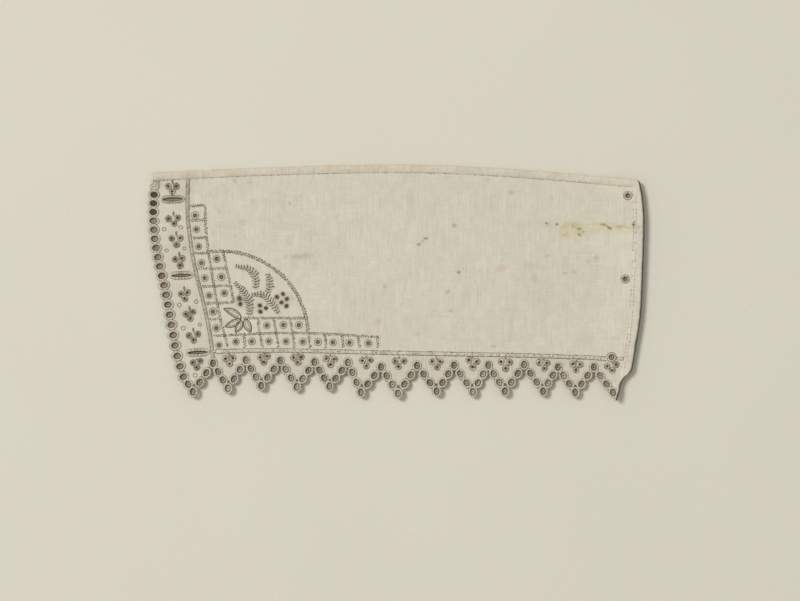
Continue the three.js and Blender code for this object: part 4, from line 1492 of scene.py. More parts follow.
@dataclass
class EyeletEdging:
    """The overcast eyelets that run down the side edge and round every point."""

    side_node: str = "edging_side"
    point_nodes: tuple[str, ...] = tuple(f"edging_point_{number:02d}" for number in range(1, 14))
    side_style: Overcast = Overcast(
        rim=1.02, low=0.45, edge_low=0.5, edge=0.22, lip=0.36, worn_from=0.20, worn_dyes=(Dye.GREY, Dye.SAND),
    )
    point_style: Overcast = Overcast(
        rim=0.86, lip=0.28, worn_from=0.22, worn_dyes=(Dye.SAND, Dye.GREY, Dye.WORN, Dye.GREY),
    )
    least_rim: float = 0.55
    # How far a rim may run over the middle between two eyelets
    overrun: float = 0.18
    # Eyelets whose threads have turned tan: X and Y
    tanned: tuple[Pair, ...] = ((-107.25, 2.76), (67.8, -49.7))
    # The worn first eyelet, which its own threads have closed: X, Y and reach
    closed_first: Triple = (-110.7, 43.9, 2.1)
    closed_stitches: int = 40
    # The first eyelets of the side, whose edges are the darkest: how many, lightness and depth
    darkest: int = 3
    darkest_edge: Pair = (0.45, 2.7)
    seed: int = 11

    def _rim(self, hole: Opening, others: Sequence[Opening], style: Overcast) -> Pair:
        """Measures a rim, which is drawn in where its neighbours are close.

        Args:
            hole: the eyelet's hole.
            others: every hole of the edging.
            style: how it is worked.

        Returns:
            The rim's half axes.
        """
        def apart(other: Opening) -> float:
            """How far another eyelet is from this one."""
            return math.hypot(other.x - hole.x, other.y - hole.y)

        nearest, next_one = sorted((other for other in others if other is not hole), key=apart)[:2]
        long, short = hole.long + style.rim, hole.short + style.rim
        if (nearest.x - hole.x) * (next_one.x - hole.x) + (nearest.y - hole.y) * (next_one.y - hole.y) > -4:
            # A turn of the edge, where the rim keeps its full size
            return long - 0.1, short
        towards = math.atan2(nearest.y - hole.y, nearest.x - hole.x) - hole.turn
        room_left = 0.5 * apart(nearest) + self.overrun
        if abs(math.cos(towards)) > abs(math.sin(towards)):
            long = max(hole.long + self.least_rim, min(long, room_left))
        else:
            short = max(hole.short + self.least_rim, min(short, room_left))
        return long, short

    def openings(self) -> dict[str, list[Opening]]:
        """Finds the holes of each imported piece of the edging.

        Returns:
            The holes by the piece's name, from the top down.
        """
        return {
            node: sorted((Opening.of(hole) for hole in Plan.of(node).holes), key=lambda hole: -hole.y)
            for node in (self.side_node, *self.point_nodes)
        }

    def build(self, room: Workroom) -> list[Piece]:
        """Works every eyelet, one piece for each packed one.

        Args:
            room: what it is made with.

        Returns:
            The dressed pieces.
        """
        rng = np.random.default_rng(self.seed)
        found = self.openings()
        everyone = [hole for holes in found.values() for hole in holes]
        pieces = []
        for node, holes in found.items():
            work = Work(room, rng)
            on_side = node == self.side_node
            style = self.side_style if on_side else self.point_style
            for number, hole in enumerate(holes):
                share, depth = float(rng.uniform(0.65, 1.1)), float(rng.uniform(0.75, 1.25))
                if on_side and number < self.darkest:
                    share, depth = self.darkest_edge
                worn = style
                if any(math.hypot(hole.x - x, hole.y - y) < 1.5 for x, y in self.tanned):
                    worn = replace(style, worn_dyes=(Dye.TAN,))
                worn.lay(work, hole, self._rim(hole, everyone, style), share, depth)
            if on_side:
                self._closed(work)
            pieces.append(work.dressed(f"{node}_rims", node))
        return pieces

    def _closed(self, work: Work) -> None:
        """Works the first eyelet.

        Args:
            work: the piece in the making.
        """
        rng, count = work.rng, self.closed_stitches
        x, y, reach = self.closed_first
        axes = np.array([reach, reach * 0.85])
        work.ring((x, y), (0.2, 0.2), axes, 0.0, 0.02, 1.0, Dye.WORN.light())
        # The cloth turned in under it
        work.ring((x, y), axes - 0.3, axes + (0.6, 0.5), 0.0, 0.05, 0.8, Dye.CREAM.light())
        work.ring((x, y), axes - 0.1, axes + 0.12, 0.1, 0.85, 1.05, Dye.WORN.light(0.9))
        middles = rng.uniform(-1, 1, (count, 2)) * (reach * 0.8, reach * 0.65) + (x, y)
        halves = 0.5 * rng.uniform(0.6, 1.4, (count, 1))
        halves = on_circle(rng.uniform(0, math.pi, count)) * halves
        starts = lifted(middles - halves, rng.uniform(0.85, 1.0, count))
        ends = lifted(middles + halves, rng.uniform(0.85, 1.0, count))
        shades = np.where(rng.random(count)[:, None] < 0.3, Dye.GREY.light(), Dye.CREAM.light())
        work.stitches(starts, ends, 0.34, 0.32, shades)


@dataclass(frozen=True)
class Bar:
    """One buttonhole: half the width of its slit, its dyes, and the loose threads in the slit."""

    node: str
    slit: float
    # The dye of the slit's edge, partly soil and partly painted shade in the slit, and the dye of the bar's
    # face
    edge: Dye
    face: Dye
    # How far above the middle of the slit the loose threads lie, their dye and their number
    row: float
    fill: Dye
    threads: int


@dataclass
class Buttonholes:
    """The three bars down the band: close stitches round a slit."""

    bars: tuple[Bar, ...] = (
        Bar("buttonhole_1", 0.85, Dye.DRAB, Dye.WORN, -0.25, Dye.DRAB, 26),
        Bar("buttonhole_2", 0.60, Dye.BROWN, Dye.RIM, 0.0, Dye.TAN, 12),
        Bar("buttonhole_3", 0.62, Dye.DARK, Dye.RIM, -0.3, Dye.GREY, 12),
    )
    fill_height: float = 0.62
    half_length: float = 5.35
    half_width: float = 1.85
    bed: float = 1.05
    spacing: float = 0.42
    # How square the bar is, and how square its slit
    square: float = 2.6
    slit_square: float = 2.2
    # How far the stitches crowd together along the slit, so that they fan out at its ends
    fan: float = 0.32
    seed: int = 12

    def build(self, room: Workroom) -> list[Piece]:
        """Works the three bars.

        Args:
            room: what they are made with.

        Returns:
            The dressed pieces.
        """
        rng = np.random.default_rng(self.seed)
        pieces = []
        for bar in self.bars:
            work, slit = Work(room, rng), self._slit(bar)
            self._work(work, bar, slit)
            self._fill(work, bar, slit)
            pieces.append(work.dressed(f"{bar.node}_bar", bar.node))
        return pieces

    def _slit(self, bar: Bar) -> Opening:
        """Measures the slit of a packed buttonhole.

        Args:
            bar: the buttonhole.

        Returns:
            The slit, as wide as the bar has it.
        """
        loop = Plan.of(bar.node).holes[0]
        centre = 0.5 * (loop.min(axis=0) + loop.max(axis=0))
        left, right = loop[int(np.argmin(loop[:, 0]))], loop[int(np.argmax(loop[:, 0]))]
        turn = math.atan2(right[1] - left[1], right[0] - left[0])
        reach = float(np.max(np.abs(turned(loop - centre, -turn)[:, 0])))
        return Opening(float(centre[0]), float(centre[1]), reach, bar.slit, turn)

    def _work(self, work: Work, bar: Bar, slit: Opening) -> None:
        """Lays the padding, the close stitches, the slit's edge and the outline.

        Args:
            work: the piece in the making.
            bar: the buttonhole.
            slit: its slit.
        """
        rng, centre, turn, inner = work.rng, slit.centre, slit.turn, slit.axes
        outer = np.array([self.half_length, self.half_width])
        # The pad at 0.8 of the worn dye: painted shade between the stitches
        work.ring(centre, inner, outer - 0.12, turn, 0.02, self.bed, Dye.WORN.light(0.8), self.square)
        # The cloth turned in under the bar
        work.ring(centre, outer - 0.3, outer + 0.45, turn, 0.05, 0.88, Dye.CREAM.light(), self.square)
        count = round(4 * (self.half_length + 0.4 * self.half_width) / self.spacing)
        angles = whole_turn(count, rng.uniform(-0.2, 0.2, count))
        angles = angles - self.fan * np.sin(2 * angles)
        near = turned(squared(angles, self.slit_square) * (inner + 0.08), turn) + centre
        far = turned(squared(angles, self.square) * (outer - 0.04), turn) + centre
        dyes = work.varied(bar.face.light(), count, 0.12)
        widths = 0.56 * rng.uniform(0.9, 1.1, count)
        work.stitches(lifted(far, self.bed - 0.18), lifted(near, self.bed - 0.05), widths, 0.36, dyes)
        # The slit's dark edge: partly soil, partly painted shade in the slit
        work.ring(centre, inner - (0.05, 0.26), inner + (0.22, 0.14), turn, 0.5, self.bed + 0.16,
                  bar.edge.light(0.9), self.slit_square)
        # The outline, darker than the bar: partly painted shade where the bar meets the cloth
        work.ring(centre, outer - 0.10, outer + 0.10, turn, 0.88, 1.10, Dye.GREY.light(0.95), self.square)

    def _fill(self, work: Work, bar: Bar, slit: Opening) -> None:
        """Lays the worn threads that lie loose in the slit.

        Args:
            work: the piece in the making.
            bar: the buttonhole.
            slit: its slit.
        """
        rng, count = work.rng, bar.threads
        middles = rng.uniform(-1, 1, count) * 0.55 * slit.long
        lengths = rng.uniform(1.0, 2.0, count)
        rows = bar.row + rng.uniform(-0.16, 0.16, count)
        starts, ends = (
            lifted(turned(np.column_stack([places, rows]), slit.turn) + slit.centre, self.fill_height)
            for places in (middles - lengths, middles + lengths)
        )
        work.stitches(starts, ends, 0.34, 0.25, bar.fill.light(), 0.2)


@dataclass
class RoundEyelets:
    """The round eyelets near the plain hem, and the one in the seam."""

    stud_nodes: tuple[str, ...] = ("stud_eyelet_1", "stud_eyelet_2")
    seam_node: str = "seam_eyelet"
    stud_style: Overcast = Overcast(
        rim=1.0, lip=0.3, edge=0.42, spacing=0.4, stitch=0.50, edge_high=1.28, outline=0.46,
        face_dye=Dye.WORN, spread=0.25, worn_from=0.3, worn_dyes=(Dye.WORN,),
    )
    seam_style: Overcast = Overcast(
        rim=0.9, lip=0.24, edge=0.2, outline=0.34, outline_dye=Dye.BROWN, worn_from=0.24,
        worn_dyes=(Dye.SAND,),
    )
    seed: int = 13

    def build(self, room: Workroom) -> list[Piece]:
        """Works the three eyelets.

        Args:
            room: what they are made with.

        Returns:
            The dressed pieces.
        """
        rng = np.random.default_rng(self.seed)
        pieces = []
        for node in (*self.stud_nodes, self.seam_node):
            style = self.seam_style if node == self.seam_node else self.stud_style
            hole = Opening.of(Plan.of(node).holes[0])
            work = Work(room, rng)
            style.lay(work, hole, hole.axes + style.rim)
            pieces.append(work.dressed(f"{node}_rim", node))
        return pieces


@dataclass
class SquareEyelets(Motif):
    """The small eyelets with square centres, in the squares of the corner."""

    name = "square_eyelets"
    cloth_node: str = "main_panel"
    # The largest hole of the cloth that is one of these, in square millimetres
    largest: float = 4.0
    hole_share: float = 0.92
    style: Overcast = Overcast(
        rim=0.95, spacing=0.42, stitch=0.36, low=0.85, bed=0.98, arch=0.28, lip=0.28, edge=0.33,
        edge_soil_and_shade_dye=Dye.DARK, edge_low=0.1, edge_high=1.22, outline=0.38, outline_dye=Dye.DRAB, fine=False,
        square=2.6,
    )
    seed: int = 14

    def places(self) -> list[Opening]:
        """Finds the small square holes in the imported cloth.

        Returns:
            The holes, each as wide as it is opened.
        """
        found = []
        for hole in Plan.of(self.cloth_node).holes:
            if abs(signed_area(hole)) < self.largest:
                x, y = 0.5 * (hole.min(axis=0) + hole.max(axis=0))
                half = 0.5 * float(hole[:, 0].max() - hole[:, 0].min()) * self.hole_share
                found.append(Opening(float(x), float(y), half, half, 0.0))
        return found

    def lay(self, work: Work) -> None:
        """Works all of them as one piece.

        Args:
            work: the piece in the making.
        """
        for hole in self.places():
            reach = (hole.long + self.style.rim) * work.rng.uniform(0.92, 1.08)
            self.style.lay(work, hole, (reach, reach), float(work.rng.uniform(0.6, 1.1)))


@dataclass(frozen=True)
class Trefoil:
    """A group of three small eyelets, and the stem over it.

    It has the X and Y of the middle between the upper two, the space between them, how they tilt,
    how far the third lies below them and to the side, and the length of the stem.
    """

    x: float
    y: float
    spread: float
    tilt: float
    drop: float
    side: float
    stem: float = 2.5


@dataclass
class Trefoils(Motif):
    """The small groups of three eyelets on one strip of cloth, with their stems."""

    name: str
    groups: Sequence[Trefoil]
    hole: float = 0.50
    specks: int = 5
    style: Overcast = Overcast(
        rim=1.0, spacing=0.42, stitch=0.42, low=0.85, bed=1.0, arch=0.34, lip=0.16, edge=0.36,
        edge_soil_and_shade_dye=Dye.BROWN, edge_high=1.22, outline=0.34, outline_dye=Dye.DRAB, spread=0.42, fine=False,
        worn_dyes=(Dye.DRAB, Dye.SAND),
    )
    # The dyes of their faces, the commoner one first, and the share of the other
    faces: tuple[Dye, Dye] = (Dye.GREY, Dye.WORN)
    rarer: float = 0.4
    # The share of them that worn threads have half filled, and how far in these reach
    filled: float = 0.55
    worn_from: float = 0.25
    seed: int = 15

    def places(self) -> list[Pair]:
        """Finds the middles of the eyelets.

        Returns:
            X and Y, three for each group.
        """
        found = []
        for group in self.groups:
            dx, dy = turned(np.array([0.5 * group.spread, 0.0]), math.radians(group.tilt))
            found += [(group.x - dx, group.y - dy), (group.x + dx, group.y + dy)]
            found.append((group.x + group.side, group.y - group.drop))
        return found

    def lay(self, work: Work) -> None:
        """Works every group, as one piece.

        Args:
            work: the piece in the making.
        """
        rng = work.rng
        for x, y in self.places():
            hole = Opening(x, y, self.hole, self.hole * 0.92, float(rng.uniform(0, math.pi)))
            reach = (self.hole + self.style.rim) * rng.uniform(0.93, 1.06)
            style = replace(self.style, face_dye=self.faces[int(rng.random() < self.rarer)],
                            worn_from=self.worn_from if rng.random() < self.filled else 0.0)
            style.lay(work, hole, (reach, reach * 0.95), float(rng.uniform(0.9, 1.7)))
            spokes = on_circle(rng.uniform(0, 2 * math.pi, self.specks)) * reach
            spots = spokes * rng.uniform(0.55, 1.05, (self.specks, 1)) + (x, y)
            sizes = rng.uniform(0.35, 0.6, self.specks)
            work.knots(lifted(spots, 1.12), sizes, 0.3, Dye.DRAB.light(0.9), 0.3)
        for group in self.groups:
            foot = np.array([[group.x + 0.3 * group.side, group.y + 0.9, 1.0]])
            head = foot + [[rng.uniform(-0.3, 0.1), group.stem, 0.0]]
            work.stitches(foot, head, 0.90, 0.30, Dye.GREY.light(0.95), linked=True)
            work.stitches(foot, head, 0.40, 0.25, Dye.GREY.light(0.9))


BAND_TREFOILS = (
    Trefoil(-102.6, 43.9, 3.7, 0, 2.3, 0.0),
    Trefoil(-102.2, 29.2, 4.2, 6, 2.5, 0.5),
    Trefoil(-100.9, 20.1, 3.9, 3, 2.9, 0.3),
    Trefoil(-99.7, 10.6, 3.2, 9, 3.0, 0.7),
    Trefoil(-97.1, -5.2, 3.0, 14, 2.4, 0.2),
    Trefoil(-94.8, -14.3, 3.2, 18, 2.5, 0.5),
    Trefoil(-92.9, -24.3, 4.0, 10, 2.5, 0.1),
    Trefoil(-91.4, -36.7, 3.3, 12, 2.5, 0.2, 0.6),
)
BORDER_TREFOILS = (
    Trefoil(-76.4, -35.1, 3.3, 4, 2.4, 0.2, 1.3),
    Trefoil(-60.6, -34.3, 3.3, 8, 2.5, 0.2, 1.0),
    Trefoil(-45.0, -34.6, 3.5, 4, 2.3, 0.1, 1.0),
    Trefoil(-30.0, -35.3, 3.7, -4, 2.6, 0.2, 1.3),
    Trefoil(-13.5, -36.0, 3.5, 4, 2.6, 0.1, 1.3),
    Trefoil(1.8, -36.3, 4.0, 0, 2.5, -0.5, 1.3),
    Trefoil(18.6, -36.6, 3.7, 0, 2.5, 0.5, 1.3),
    Trefoil(35.4, -36.2, 3.7, -11, 2.9, 0.0, 1.3),
    Trefoil(50.4, -36.7, 3.9, -3, 3.0, 0.1, 1.3),
    Trefoil(67.7, -37.1, 3.5, -4, 2.6, 0.6, 1.3),
    Trefoil(83.0, -37.8, 3.3, -4, 2.6, -0.2, 1.3),
    Trefoil(99.1, -38.3, 4.1, 9, 2.3, 0.2, 0.4),
)


@dataclass
class SmallRings(Motif):
    """The tiny open rings scattered over the band."""

    name = "small_rings"
    places: Sequence[Pair] = (
        (-106.3, 24.2), (-98.7, 25.1), (-97.1, 15.4), (-105.2, 14.5), (-91.6, -9.0),
        (-99.4, -10.6), (-90.0, -19.6), (-97.6, -21.2), (-92.1, -42.8),
    )
    reach: float = 1.05
    thread: float = 0.34
    seed: int = 16

    def lay(self, work: Work) -> None:
        """Lays a thin ring at each place.

        Args:
            work: the piece in the making.
        """
        rng = work.rng
        for place in self.places:
            reach = self.reach * rng.uniform(0.85, 1.1)
            axes = np.array([reach, reach * rng.uniform(0.85, 1.0)])
            work.ring(place, axes - self.thread, axes, float(rng.uniform(0, 3)), 0.88, 1.18,
                      Dye.DRAB.light(rng.uniform(0.85, 1.2)), fine=False)


@dataclass
class OpenSeam(Motif):
    """An openwork seam: two twisted cords with a ladder of stitches between them."""

    name = "ladder"
    node: str
    runs_along: int
    cords: float = 0.70
    cord_radius: float = 0.15
    cord_step: float = 0.45
    # How far the two strands of a cord swing and rise, and the length of one twist
    swing: float = 0.11
    rise: float = 0.10
    twist: float = 0.9
    rungs: float = 0.52
    rung_width: float = 0.56
    rung_level: float = 0.72
    # How far the rungs run on under the cloth
    past_cords: float = 0.3
    # The dyes of the two cords, the right or lower one first
    dyes: tuple[Dye, Dye] = (Dye.DRAB, Dye.GREY)
    rung_dye: Dye = Dye.WORN
    # The share of the rungs with a knot beside them: on the first cord, between the cords, on the other
    knotted: Triple = (0.9, 0.3, 0.4)
    knot_share: float = 0.5
    seed: int = 17

    def centre_line(self, step: float) -> Array:
        """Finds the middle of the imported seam.

        Args:
            step: the distance between the places that come back.

        Returns:
            X and Y of the places, a row each.
        """
        outline = Plan.of(self.node).outline
        ends = outline[:, self.runs_along].min() + 0.3, outline[:, self.runs_along].max() - 0.3
        stations = np.linspace(*ends, 24)
        middles = [sum(crossings(outline, self.runs_along, place)) / 2 for place in stations]
        rows = np.column_stack([stations, middles] if self.runs_along == 0 else [middles, stations])
        return smooth_line(rows, step)

    def lay(self, work: Work) -> None:
        """Lays the cords, the ladder and the knots.

        Args:
            work: the piece in the making.
        """
        rng = work.rng
        line = self.centre_line(self.cord_step)
        _, across = along_and_across(line)
        run = self.cord_step * np.arange(len(line))
        wander = 0.10 * ripple(run, run * 0.3, 2.2, self.seed)
        for side, dye in zip((-1, 1), self.dyes):
            for strand, share in ((0, 0.75), (math.pi, 1.0)):
                phase = run / self.twist * 2 * math.pi + strand
                flat = line + across * (side * self.cords + (self.swing * np.sin(phase) + wander))[:, None]
                path = lifted(flat, FACE + self.rise * np.cos(phase))
                work.cord(path, 0.75 * self.cord_radius, dye.light(share))
        bars = self.centre_line(self.rungs)
        slope, aside = along_and_across(bars)
        reach = aside * (self.cords + self.past_cords)
        lean = slope * rng.uniform(-0.12, 0.12, (len(bars), 1))
        starts, ends = (lifted(row, self.rung_level) for row in (bars - reach + lean, bars + reach - lean))
        work.stitches(starts, ends, self.rung_width, 0.34, self.rung_dye.light(), 0.15)
        beside = reach * self.cords / (self.cords + self.past_cords)
        for share, row in zip(self.knotted, (bars - beside, bars, bars + beside)):
            chosen = row[rng.random(len(row)) < share * self.knot_share]
            places = lifted(chosen + rng.uniform(-0.12, 0.12, chosen.shape), 1.0)
            work.knots(places, rng.uniform(0.3, 0.55, len(chosen)), 0.3, Dye.DRAB.light(0.95), 0.25)


@dataclass
class SeamEnd(Motif):
    """The small rounded end of the lower seam, past its eyelet."""

    name = "loop"
    node: str = "lower_seam_end"
    spacing: float = 0.55
    bar_level: float = 0.75
    seed: int = 18

    def lay(self, work: Work) -> None:
        """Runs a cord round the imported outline, with a few bars across.

        Args:
            work: the piece in the making.
        """
        loop = grown_loop(Plan.of(self.node).outline, -0.1)
        work.cord(lifted(dense_loop(loop, 0.4), 1.0), 0.15, Dye.GREY.light(1.1), True)
        bars = np.arange(loop[:, 0].min() + 0.5, loop[:, 0].max() - 0.3, self.spacing)
        spans = np.array([crossings(loop, 0, place) for place in bars]).T
        starts, ends = (lifted(np.column_stack([bars, span]), self.bar_level) for span in spans)
        work.stitches(starts, ends, 0.6, 0.34, Dye.CREAM.light(0.95), 0.1)


@dataclass(frozen=True)
class Post:
    """An upright of the lattice: where it starts, how far it leans, and whether it is a tall one."""

    x: float
    lean: float
    tall: bool = False


@dataclass
class CornerLattice(Motif):
    """The chain-stitched squares and the quarter round in the corner."""

    name = "chains"
    # The middle of the side seam, where the rungs start
    seam: Array
    node: str = "corner_lattice"
    centre: Pair = (-80.5, -24.5)
    reach: Pair = (40.2, 38.7)
    sweep: Pair = (0.02, 1.68)
    inner_column: tuple = ((-87.7, 35.4), (-86.8, 19.3), (-84.2, 2.3), (-80.6, -16.6), (-77.1, -29.6))
    outer_column: tuple = ((-79.4, 14.2), (-76.2, -0.5), (-74.4, -9.6))
    lower_rail: tuple = ((-83.7, -24.8), (-62.4, -23.7), (-39.4, -23.5), (-7.6, -25.3))
    upper_rail: tuple = ((-70.2, -16.6), (-55.0, -16.5), (-41.3, -16.6))
    short_rungs: tuple[float, ...] = (35.2, 28.5, 20.4, 13.3, -17.0)
    long_rungs: tuple[float, ...] = (6.2, -1.8, -9.5)
    post_foot: float = -30.2
    posts: tuple[Post, ...] = (
        Post(-69.8, 0.6), Post(-63.5, 2.3, True), Post(-56.0, 2.1, True), Post(-48.4, 2.1, True),
        Post(-40.1, 0.9), Post(-32.5, 0.5), Post(-24.7, 0.7), Post(-17.3, 0.9), Post(-8.6, 0.6),
    )
    beside_seam: float = 1.3
    pitch: float = 1.15
    gap: float = 0.12
    sway: float = 0.13
    width: float = 1.2
    height: float = 0.15
    # The quarter round is worked wider and higher
    arc_width: float = 1.55
    arc_height: float = 0.24
    arc_pitch: float = 1.3
    # The dark knots that hold each stitch down: to its left, and along it
    knots: tuple[Pair, ...] = ((0.30, 0.25), (-0.30, 0.75))
    knot_share: float = 0.92
    arc_knots: float = 1.15
    seed: int = 19

    def _lines(self) -> list[Array]:
        """Draws the lines that the chains follow.

        Returns:
            Each line, spaced a stitch apart, with the quarter round first.
        """
        def reads(rows: Sequence, known: int, wanted: int, place: float) -> float:
            """Reads a row of places by the value of one column."""
            table = np.array(sorted(rows, key=lambda row: row[known]))
            return float(np.interp(place, table[:, known], table[:, wanted]))

        arc = on_circle(np.linspace(*self.sweep, 24)) * self.reach + self.centre
        top = self.centre[1] + self.reach[1]
        rows = [self.inner_column, self.outer_column, self.lower_rail, self.upper_rail]
        turn = (reads(self.inner_column, 1, 0, top) + 1.0, top - 0.1)
        rows.append([turn, arc[-1] - (0.6, 0)])
        for column, heights in ((self.inner_column, self.short_rungs), (self.outer_column, self.long_rungs)):
            for height in heights:
                start = (reads(self.seam, 1, 0, height) + self.beside_seam, height - 0.3)
                rows.append([start, (reads(column, 1, 0, height), height + 0.2)])
        for post in self.posts:
            head = self.upper_rail[0][1] if post.tall else reads(self.lower_rail, 0, 1, post.x)
            rows.append([(post.x, head), (post.x + post.lean, self.post_foot)])
        return [smooth_line(arc, self.arc_pitch), *(smooth_line(row, self.pitch) for row in rows)]

    def lay(self, work: Work) -> None:
        """Works every line in chain stitch.

        Args:
            work: the piece in the making.
        """
        rng = work.rng
        for number, line in enumerate(self._lines()):
            on_arc = number == 0
            starts, ends = line[:-1], line[1:]
            count, ahead = len(starts), ends - starts
            jitter = rng.uniform(-0.10, 0.10, (count, 2))
            across = left_of(ahead) * np.where(np.arange(count) % 2, self.sway, -self.sway)[:, None]
            tails = lifted(starts + self.gap * ahead + jitter - across, FACE)
            heads = lifted(ends - self.gap * ahead + jitter + across, FACE + 0.04)
            widths = (self.arc_width if on_arc else self.width) * rng.uniform(0.8, 1.15, count)
            dye = Dye.GREY.light(1.12) if on_arc else Dye.RIM.light()
            height = self.arc_height if on_arc else self.height
            work.stitches(tails, heads, widths, height, dye, 0.10, linked=True)
            beside = left_of(ahead) * widths[:, None] / self.pitch
            for side, place in self.knots:
                places = starts + place * ahead + side * beside + rng.uniform(-0.1, 0.1, (count, 2))
                held = rng.random(count) < self.knot_share
                sizes = rng.uniform(0.42, 0.70, held.sum()) * (self.arc_knots if on_arc else 1.0)
                work.knots(lifted(places, FACE)[held], sizes, 0.26, Dye.BROWN.light(0.88), 0.4)


@dataclass
class Fern(Motif):
    """A frond: a chain along its rib, with leaning loops on both sides."""

    name = "frond"
    node: str
    # The middle of the rib and the width of the frond there: X, Y and width
    rib: Sequence[Triple]
    pitch: float = 1.28
    thread: float = 0.37
    lean: float = 0.62
    level: float = 1.0
    seed: int = 20

    def lay(self, work: Work) -> None:
        """Works the frond along its rib.

        Args:
            work: the piece in the making.
        """
        rng = work.rng
        line = smooth_line(self.rib, self.pitch)
        count, rib = len(line), line[:, :2]
        ahead, across = along_and_across(rib)
        between = 0.5 * self.pitch * lifted(ahead, 0.0)
        for side in (-1, 1):
            lobe = (0.5 * line[:, 2:3] + 0.15) * rng.uniform(0.85, 1.15, (count, 1))
            roots = rib + rng.uniform(-0.1, 0.1, (count, 2))
            tips = lifted(roots - self.lean * lobe * ahead + side * lobe * across, self.level - 0.04)
            roots = lifted(roots, self.level)
            widths = self.thread * rng.uniform(0.8, 1.2, count)
            work.stitches(roots, tips, widths, 0.36, Dye.BROWN.light(1.1), 0.35)
            # The pale middle of each loop, and its turned end
            work.stitches(roots + between, tips + between, 0.70, 0.22, Dye.RIM.light(), 0.08)
            bent = rng.random(count) < 0.4
            work.stitches(tips[bent], (tips + between)[bent], 0.34, 0.32, Dye.GREY.light(), 0.3)
            pricks = roots + rng.uniform(0.1, 0.95, (count, 1)) * (tips - roots)
            work.knots(pricks, rng.uniform(0.4, 0.6, count), 0.42, Dye.BROWN.light(0.9), 0.3)
        work.cord(lifted(rib, self.level + 0.1), 0.12, Dye.DRAB.light())


FERNS = (
    Fern("fern_top", ((-73.0, 7.3, 1.4), (-68.0, 6.2, 2.6), (-64.6, 2.6, 3.6), (-64.2, -2.8, 2.6))),
    Fern("fern_left", ((-73.6, -0.6, 1.4), (-70.2, -4.1, 3.0), (-67.4, -9.4, 4.1), (-67.2, -15.0, 2.6)),
         seed=21),
    Fern("fern_right", ((-58.7, 3.2, 1.6), (-57.8, -0.5, 3.2), (-58.7, -4.9, 2.4)), seed=22),
    Fern("fern_low", ((-65.6, -5.6, 1.6), (-60.6, -6.0, 3.0), (-56.9, -9.8, 3.8), (-53.9, -14.2, 1.8)),
         seed=23),
)


@dataclass
class Leaf(Motif):
    """A leaf: satin stitches from edge to edge, with one outline round them and one within."""

    name = "satin"
    node: str
    root: Pair
    tip: Pair
    width: float
    bend: float = 0.25
    inner_share: float = 0.45
    outline_level: float = 1.16
    seed: int = 24

    def _outline(self, share: float) -> Array:
        """Draws the leaf's outline at a share of its width.

        Args:
            share: the share.

        Returns:
            X and Y of its corners, a row each.
        """
        root, tip = np.array(self.root), np.array(self.tip)
        length = float(np.linalg.norm(tip - root))
        place = np.linspace(0, 1, 12)
        half = 0.5 * self.width * share * np.sin(math.pi * place**0.85) ** 0.8
        bow = self.bend * np.sin(math.pi * place)
        upper = np.column_stack([place * length, bow + half])
        lower = np.column_stack([place * length, bow - half])[::-1]
        middle = np.array([[0.5 * length, 0.0]])
        flat = (np.vstack([upper, lower[1:-1]]) - middle) * (share**0.4, 1) + middle
        return turned(flat, math.atan2(tip[1] - root[1], tip[0] - root[0])) + root

    def lay(self, work: Work) -> None:
        """Works the satin and the two outlines.

        Args:
            work: the piece in the making.
        """
        edge, inside = self._outline(1.0), self._outline(self.inner_share)
        for line, radius, dye in ((edge, 0.24, Dye.BROWN.light(0.95)), (inside, 0.18, Dye.DRAB.light(0.85))):
            work.cord(lifted(dense_loop(line, 0.45), self.outline_level), radius, dye, True)
        half = len(edge) // 2
        sides = lifted(edge[1:half], FACE), lifted(edge[::-1][: half - 1], FACE)
        for shift in (0.0, 0.5):
            starts, ends = (side[:-1] + shift * (side[1:] - side[:-1]) for side in sides)
            work.stitches(starts, ends, 0.44, 0.3, Dye.CREAM.light(0.95), 0.12)


LEAVES = (
    Leaf("leaf_upper", (-71.0, -16.8), (-79.0, -12.2), 3.1, -0.6),
    Leaf("leaf_lower", (-71.3, -17.2), (-78.4, -20.5), 2.9, 0.3),
    Leaf("leaf_middle", (-70.8, -17.8), (-73.6, -23.1), 2.7, 0.2),
    Leaf("leaf_inner", (-69.2, -17.2), (-66.6, -22.9), 3.2, -0.2),
)


@dataclass
class SatinDots(Motif):
    """The dark dots among the fronds: short stitches side by side over a small pad."""

    name = "satin_dots"
    # X, Y and radius of each dot
    places: Sequence[Triple] = (
        (-71.8, -7.6, 1.35), (-71.4, -10.1, 1.15), (-62.4, -10.8, 1.1), (-62.2, -13.6, 1.1),
        (-59.6, -12.0, 1.0), (-54.6, -6.9, 1.1), (-51.8, -5.5, 1.0), (-50.0, -7.8, 1.1),
        (-52.5, -9.4, 1.05), (-50.2, -11.0, 1.15),
    )
    core: float = 0.80
    halo: float = 1.28
    rows: int = 5
    seed: int = 25

    def lay(self, work: Work) -> None:
        """Works every dot, as one piece.

        Args:
            work: the piece in the making.
        """
        for number, (x, y, reach) in enumerate(self.places):
            axes, core = np.array([reach, reach]), self.core * reach
            work.ring((x, y), 0.5 * axes, self.halo * axes, 0.0, 0.88, 1.04, Dye.WORN.light(0.85), fine=False)
            rows = np.linspace(-0.82, 0.82, self.rows) * core
            half = np.sqrt(core**2 - rows**2)
            turn = float(work.rng.uniform(0, math.pi))
            starts, ends = (
                lifted(turned(np.column_stack([side * half, rows]), turn) + (x, y), FACE) for side in (-1, 1)
            )
            dye = Dye.DARK.light(1.5) if number else Dye.BROWN.light(1.1)
            work.stitches(starts, ends, 0.42, 0.46, dye, 0.25)


